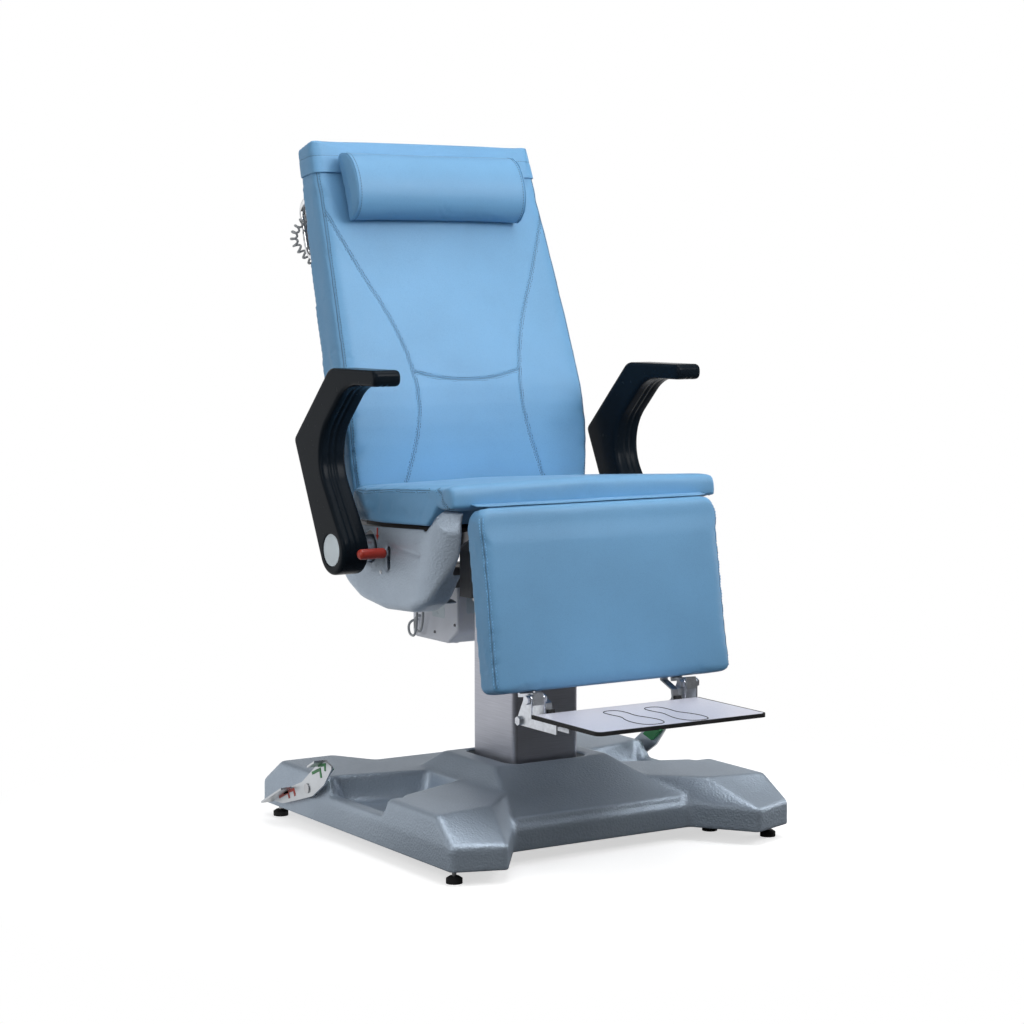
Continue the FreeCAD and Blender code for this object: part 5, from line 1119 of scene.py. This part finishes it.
def roll_form(name):
    """A half-round bolster as long, high and deep as the CAD roll."""
    local = in_frame(BACK, coordinates(frame["nodes"]["headrest_roll"].data))
    foot = Vector(local[np.argmin(local[:, 2])][1:])
    rise = Vector(local[np.argmax(local[:, 2])][1:]) - foot
    ahead = Vector((-rise.y, rise.x)).normalized()
    depth = max((Vector(p[1:]) - foot).dot(ahead) for p in local)
    section = []
    for k in range(ROLL_SIDES + 1):
        turn = math.pi * k / ROLL_SIDES
        bulge = ahead * (depth * math.sin(turn) ** ROLL_FULLNESS)
        section.append(foot + rise * ((1 - math.cos(turn)) / 2) + bulge)
    work = bmesh.new()
    ends = [[work.verts.new(spot(BACK, x, *p)) for p in section] for x in (local[:, 0].min(), local[:, 0].max())]
    for end in ends:
        work.faces.new(end)
    for k in range(len(section)):
        work.faces.new((ends[0][k - 1], ends[0][k], ends[1][k], ends[1][k - 1]))
    return as_piece(name, work)


def headrest_roll():
    roll = roll_form("headrest_roll_pad")
    remesh(roll, HOOD_VOXEL)
    relax(roll, 1)
    swell(roll, 1 * MM, 3 * MM)
    middle = spot(BACK, *ROLL_MIDDLE)

    def rings(reach):
        return [even(slice_loop(roll, middle + X * (sign * reach * MM), X), SEAM_STEP) for sign in (1, -1)]

    ends = rings(ROLL_END_SEAM)
    for end in ends:
        sew_in(roll, end, SEAM_WIDTH, 1.2 * MM, SEAM_SNAP)
    skin = skin_of(roll)
    sew_thread("roll_stitches", skin, [(ring, 0) for ring in rings(ROLL_STITCH)], "headrest", THREAD)
    for i, end in enumerate(ends):
        seam_cord(f"roll_welt_{i}", skin, end, WELT_RADIUS, WELT_LIFT, "headrest", SURFACES["upholstery"], True)
    finish_pad(roll, "headrest", "headrest_roll")


headrest_roll()

# Seat pad: a sewn edge round the top of each side and a slanted gusset seam at each front corner
SEAT_EDGE_REAR = 168
SEAT_EDGE_FRONT = -140
GUSSET = [(-134, 690), (-160, 680), (-186, 666), (-206, 656)]
SEAT_LOW = 612
SEAT_NOSE = (130, 170)
SEAT_LIFT = 6
SEAT_SLOPE = 0.02
HEM_RISE_FROM = 60
HEM_SLOPE = 0.045
NOSE_WIDER = 0.03
SEAT_EDGE_IN = 15 * MM
SEAT_EDGE_ROW = 1.3
SEAM_WAVE = 0.55
BESIDE_PAD = 0.2
FLAP_HALF = 257
FLAP_DEPTH = 41
FLAP_SECTION = [(-208, 664.4), (-218, 664.6), (-228, 664.4), (-237, 663.7), (-245, 662.9), (-249, 662.7)]
FLAP_WALL = 1.2 * MM


def seat_pad():
    pad = pad_copy("seat_cushion", "seat_pad")
    points = coordinates(pad.data)
    y, z = in_frame(CHAIR, points).T[1:]
    nose = ramp_between(-y, *SEAT_NOSE)
    points[:, 2] += (SEAT_LIFT - SEAT_SLOPE * y) * MM * ramp_between(z, 628 + 36 * nose, 664 + 20 * nose)
    hem = (1 - ramp_between(z, SEAT_LOW, 645)) * ramp_between(y, -200, -130)
    points[:, 2] += np.maximum(HEM_RISE_FROM - y, 0) * HEM_SLOPE * MM * hem
    points[:, 0] *= 1 + NOSE_WIDER * ramp_between(-y, 150, 195)
    move_to(pad.data, points)
    swell(pad, 1 * MM, 4 * MM, ramp_between(points[:, 2] / MM, SEAT_LOW, SEAT_LOW + 25))
    skin = skin_of(pad)
    inside = [spot(CHAIR, 0, y, 640) for y in np.linspace(SEAT_EDGE_REAR, SEAT_EDGE_FRONT, 14)]
    edges = side_edges(skin, inside, Z, SEAT_EDGE_IN)
    run = seam_run([spot(CHAIR, 0, y, z) for y, z in GUSSET])
    gussets = [drop(skin, [p + X * (sign * BESIDE_PAD) for p in run], -X * sign) for sign in (1, -1)]
    rows = [row for line in gussets for row in both_sides(line)]
    rows += [(edge, sign * STITCH_ASIDE * SEAT_EDGE_ROW) for edge, sign in zip(edges, (1, -1))]
    sew_pad(pad, "seat", edges + gussets, rows, THREAD, SEAM_WAVE)
    finish_pad(pad, "seat", "seat_cushion")


def hinge_flap():
    """A strip of the cover that comes out of the seam under the nose and lies on the legrest."""
    columns = np.linspace(-1, 1, 61)
    points, faces = [], []
    for share in columns:
        reach = 1 - 0.3 * ramp_between(abs(share), 0.9, 1.0)
        ripple = 0.35 * math.sin(7 * share) + 0.25 * math.sin(17 * share + 1)
        for y, z in FLAP_SECTION:
            ahead = (y - FLAP_SECTION[0][0]) * reach
            rise = max(ripple * -ahead / FLAP_DEPTH, 0)
            points.append(spot(CHAIR, share * FLAP_HALF, FLAP_SECTION[0][0] + ahead, z + rise))
    count = len(FLAP_SECTION)
    for column in range(len(columns) - 1):
        for k in range(count - 1):
            a = column * count + k
            faces.append((a, a + count, a + count + 1, a + 1))
    flap = mesh_piece("hinge_flap", points, faces)
    thicken(flap, FLAP_WALL, 1)
    dress(flap, "seat", "upholstery")


seat_pad()
hinge_flap()

# Legrest pad: a stitched edge down each side
LEG_EDGE_HIGH = 4
LEG_EDGE_LOW = -304
LEG_FRONT = (-16, 0)
LEG_TOP = (-50, -8)
LEG_EDGE_IN = 16 * MM


def legrest_pad():
    pad = pad_copy("legrest_cushion", "legrest_pad")
    local = in_frame(LEG, coordinates(pad.data))
    free = ramp_between(-local[:, 1], *LEG_FRONT) * (1 - ramp_between(local[:, 2], *LEG_TOP))
    swell(pad, 1 * MM, 3.5 * MM, free)
    inside = [spot(LEG, 0, -5, z) for z in np.linspace(LEG_EDGE_LOW, LEG_EDGE_HIGH, 14)]
    edges = side_edges(skin_of(pad), inside, way(LEG, -Y), LEG_EDGE_IN)
    rows = [row for edge in edges for row in both_sides(edge)]
    # Stitches in the paler thread copy: painted highlight.
    sew_pad(pad, "legrest", edges, rows, PAINTED_LIT_THREAD)
    finish_pad(pad, "legrest", "legrest_cushion")


legrest_pad()


# Stage: floor, backdrop light and lamps
FLOOR_HALF = 14
FLOOR_GLOW = 0.6
FLOOR_DARK = 0.12
FLOOR_PALE = 0.6
FADE_SPAN = (0.55, 1.15)
PALE_SPAN = (-0.4, 1.0)


def make_floor():
    """A pale floor that keeps the shadow near the chair, fades to white away from it and is darker in front of it."""
    half = FLOOR_HALF
    floor = mesh_piece("floor", [(-half, -half, 0), (half, -half, 0), (half, half, 0), (-half, half, 0)],
                       [(0, 1, 2, 3)])
    s = Surface("white_floor", Specular_IOR_Level=0.0, Roughness=0.9)
    tint = s.ramp(s.noise(3), (0.3, (0.79, 0.79, 0.79)), (0.7, (0.81, 0.81, 0.81)))
    s.put(s.shader.inputs["Base Color"], tint)
    glow = s.node("ShaderNodeEmission", {"Strength": FLOOR_GLOW}).outputs[0]
    near = s.node("ShaderNodeAddShader", {0: s.shader.outputs[0], 1: glow}).outputs[0]
    white = s.node("ShaderNodeEmission", {"Strength": 1.0}).outputs[0]
    away = s.node("ShaderNodeVectorMath", {0: s.place}, operation="LENGTH").outputs["Value"]
    seen = mix_shaders(s.tree, smooth_step(s.tree, away, FADE_SPAN), near, white)
    path = s.node("ShaderNodeLightPath").outputs
    depth = s.node("ShaderNodeSeparateXYZ", {0: s.place}).outputs["Y"]
    behind = smooth_step(s.tree, depth, PALE_SPAN)
    grey = s.mottle(behind, (1, 1, 1), FLOOR_DARK, FLOOR_PALE, 0, 1)
    dim = s.node("ShaderNodeBsdfDiffuse", {"Color": grey}).outputs[0]
    mirrored = mix_shaders(s.tree, behind, dim, white)
    unseen = mix_shaders(s.tree, path["Is Glossy Ray"], dim, mirrored)
    both = mix_shaders(s.tree, path["Is Camera Ray"], unseen, seen)
    s.put(s.tree.nodes["Material Output"].inputs["Surface"], both)
    floor.data.materials.append(s.material)


WORLD_LIGHT = 0.06
WORLD_TOP = 0.34
WORLD_BACK = 0.2
MIRROR_DARK = 0.05
MIRROR_BACK = 1.0
MIRROR_TOP = 0.9
MIRROR_BACK_SPAN = (-0.15, 0.6)
MIRROR_LOW_SPAN = (0.25, 0.55)
MIRROR_TOP_SPAN = (0.6, 0.95)
WORLD_TOP_SPAN = (-0.1, 0.7)
WORLD_BACK_SPAN = (-0.3, 0.7)


def make_world():
    """White for the camera, and for the chair a room with a bright backdrop and ceiling and a dark front."""
    world = bpy.data.worlds.new("studio")
    bpy.context.scene.world = world
    world.use_nodes = True
    tree = world.node_tree
    white = tree.nodes["Background"]
    white.inputs["Color"].default_value = (1, 1, 1, 1)

    def made(kind, inputs=(), **settings):
        return add_node(tree, kind, inputs, **settings)

    def reckon(operation, first, second):
        return made("ShaderNodeMath", {0: first, 1: second}, operation=operation).outputs[0]

    axes = made("ShaderNodeSeparateXYZ", {0: made("ShaderNodeTexCoord").outputs["Generated"]}).outputs
    back = smooth_step(tree, axes["Y"], MIRROR_BACK_SPAN, MIRROR_BACK)
    low = reckon("SUBTRACT", 1.0, smooth_step(tree, axes["Z"], MIRROR_LOW_SPAN))
    top = smooth_step(tree, axes["Z"], MIRROR_TOP_SPAN, MIRROR_TOP)
    studio = reckon("ADD", reckon("MAXIMUM", reckon("MULTIPLY", back, low), top), MIRROR_DARK)
    level = reckon("ADD", smooth_step(tree, axes["Z"], WORLD_TOP_SPAN, WORLD_TOP),
                   smooth_step(tree, axes["Y"], WORLD_BACK_SPAN, WORLD_BACK))
    soft = made("ShaderNodeBackground", {"Strength": reckon("ADD", level, WORLD_LIGHT)}).outputs[0]
    mirrored = made("ShaderNodeBackground", {"Strength": studio}).outputs[0]
    path = made("ShaderNodeLightPath").outputs
    unlit = mix_shaders(tree, path["Is Glossy Ray"], soft, mirrored)
    clear = reckon("MAXIMUM", path["Is Camera Ray"], path["Is Transmission Ray"])
    whole = mix_shaders(tree, clear, unlit, white.outputs[0])
    tree.links.new(whole, tree.nodes["World Output"].inputs["Surface"])


LAMPS = (
    ("overhead_softbox", (0.2, -0.5, 3.6), (0, 0, 0.6), 2.6, 48, 180),
    ("key_softbox", (1.0, -1.9, 2.2), (0, 0.15, 1.1), 1.4, 6.8, 62),
    ("right_softbox", (3.2, -0.6, 1.0), (0.2, 0, 0.4), 1.4, 22, 180),
    ("front_softbox", (-2.4, -3.0, 1.5), (0, 0, 0.8), 1.6, 9, 180),
    ("side_softbox", (-3.4, -0.8, 1.9), (0, 0, 0.7), 1.8, 30, 180),
)


def make_lamp(name, place, target, size, power, spread):
    data = bpy.data.lights.new(name, "AREA")
    data.size = size
    data.energy = power
    data.spread = math.radians(spread)
    lamp = link(bpy.data.objects.new(name, data))
    ahead = (Vector(target) - Vector(place)).normalized()
    lamp.visible_camera = False
    lamp.matrix_world = Matrix.Translation(place) @ ahead.to_track_quat("-Z", "Y").to_matrix().to_4x4()


make_floor()
make_world()
for lamp in LAMPS:
    make_lamp(*lamp)
bpy.context.scene.view_settings.view_transform = "Standard"
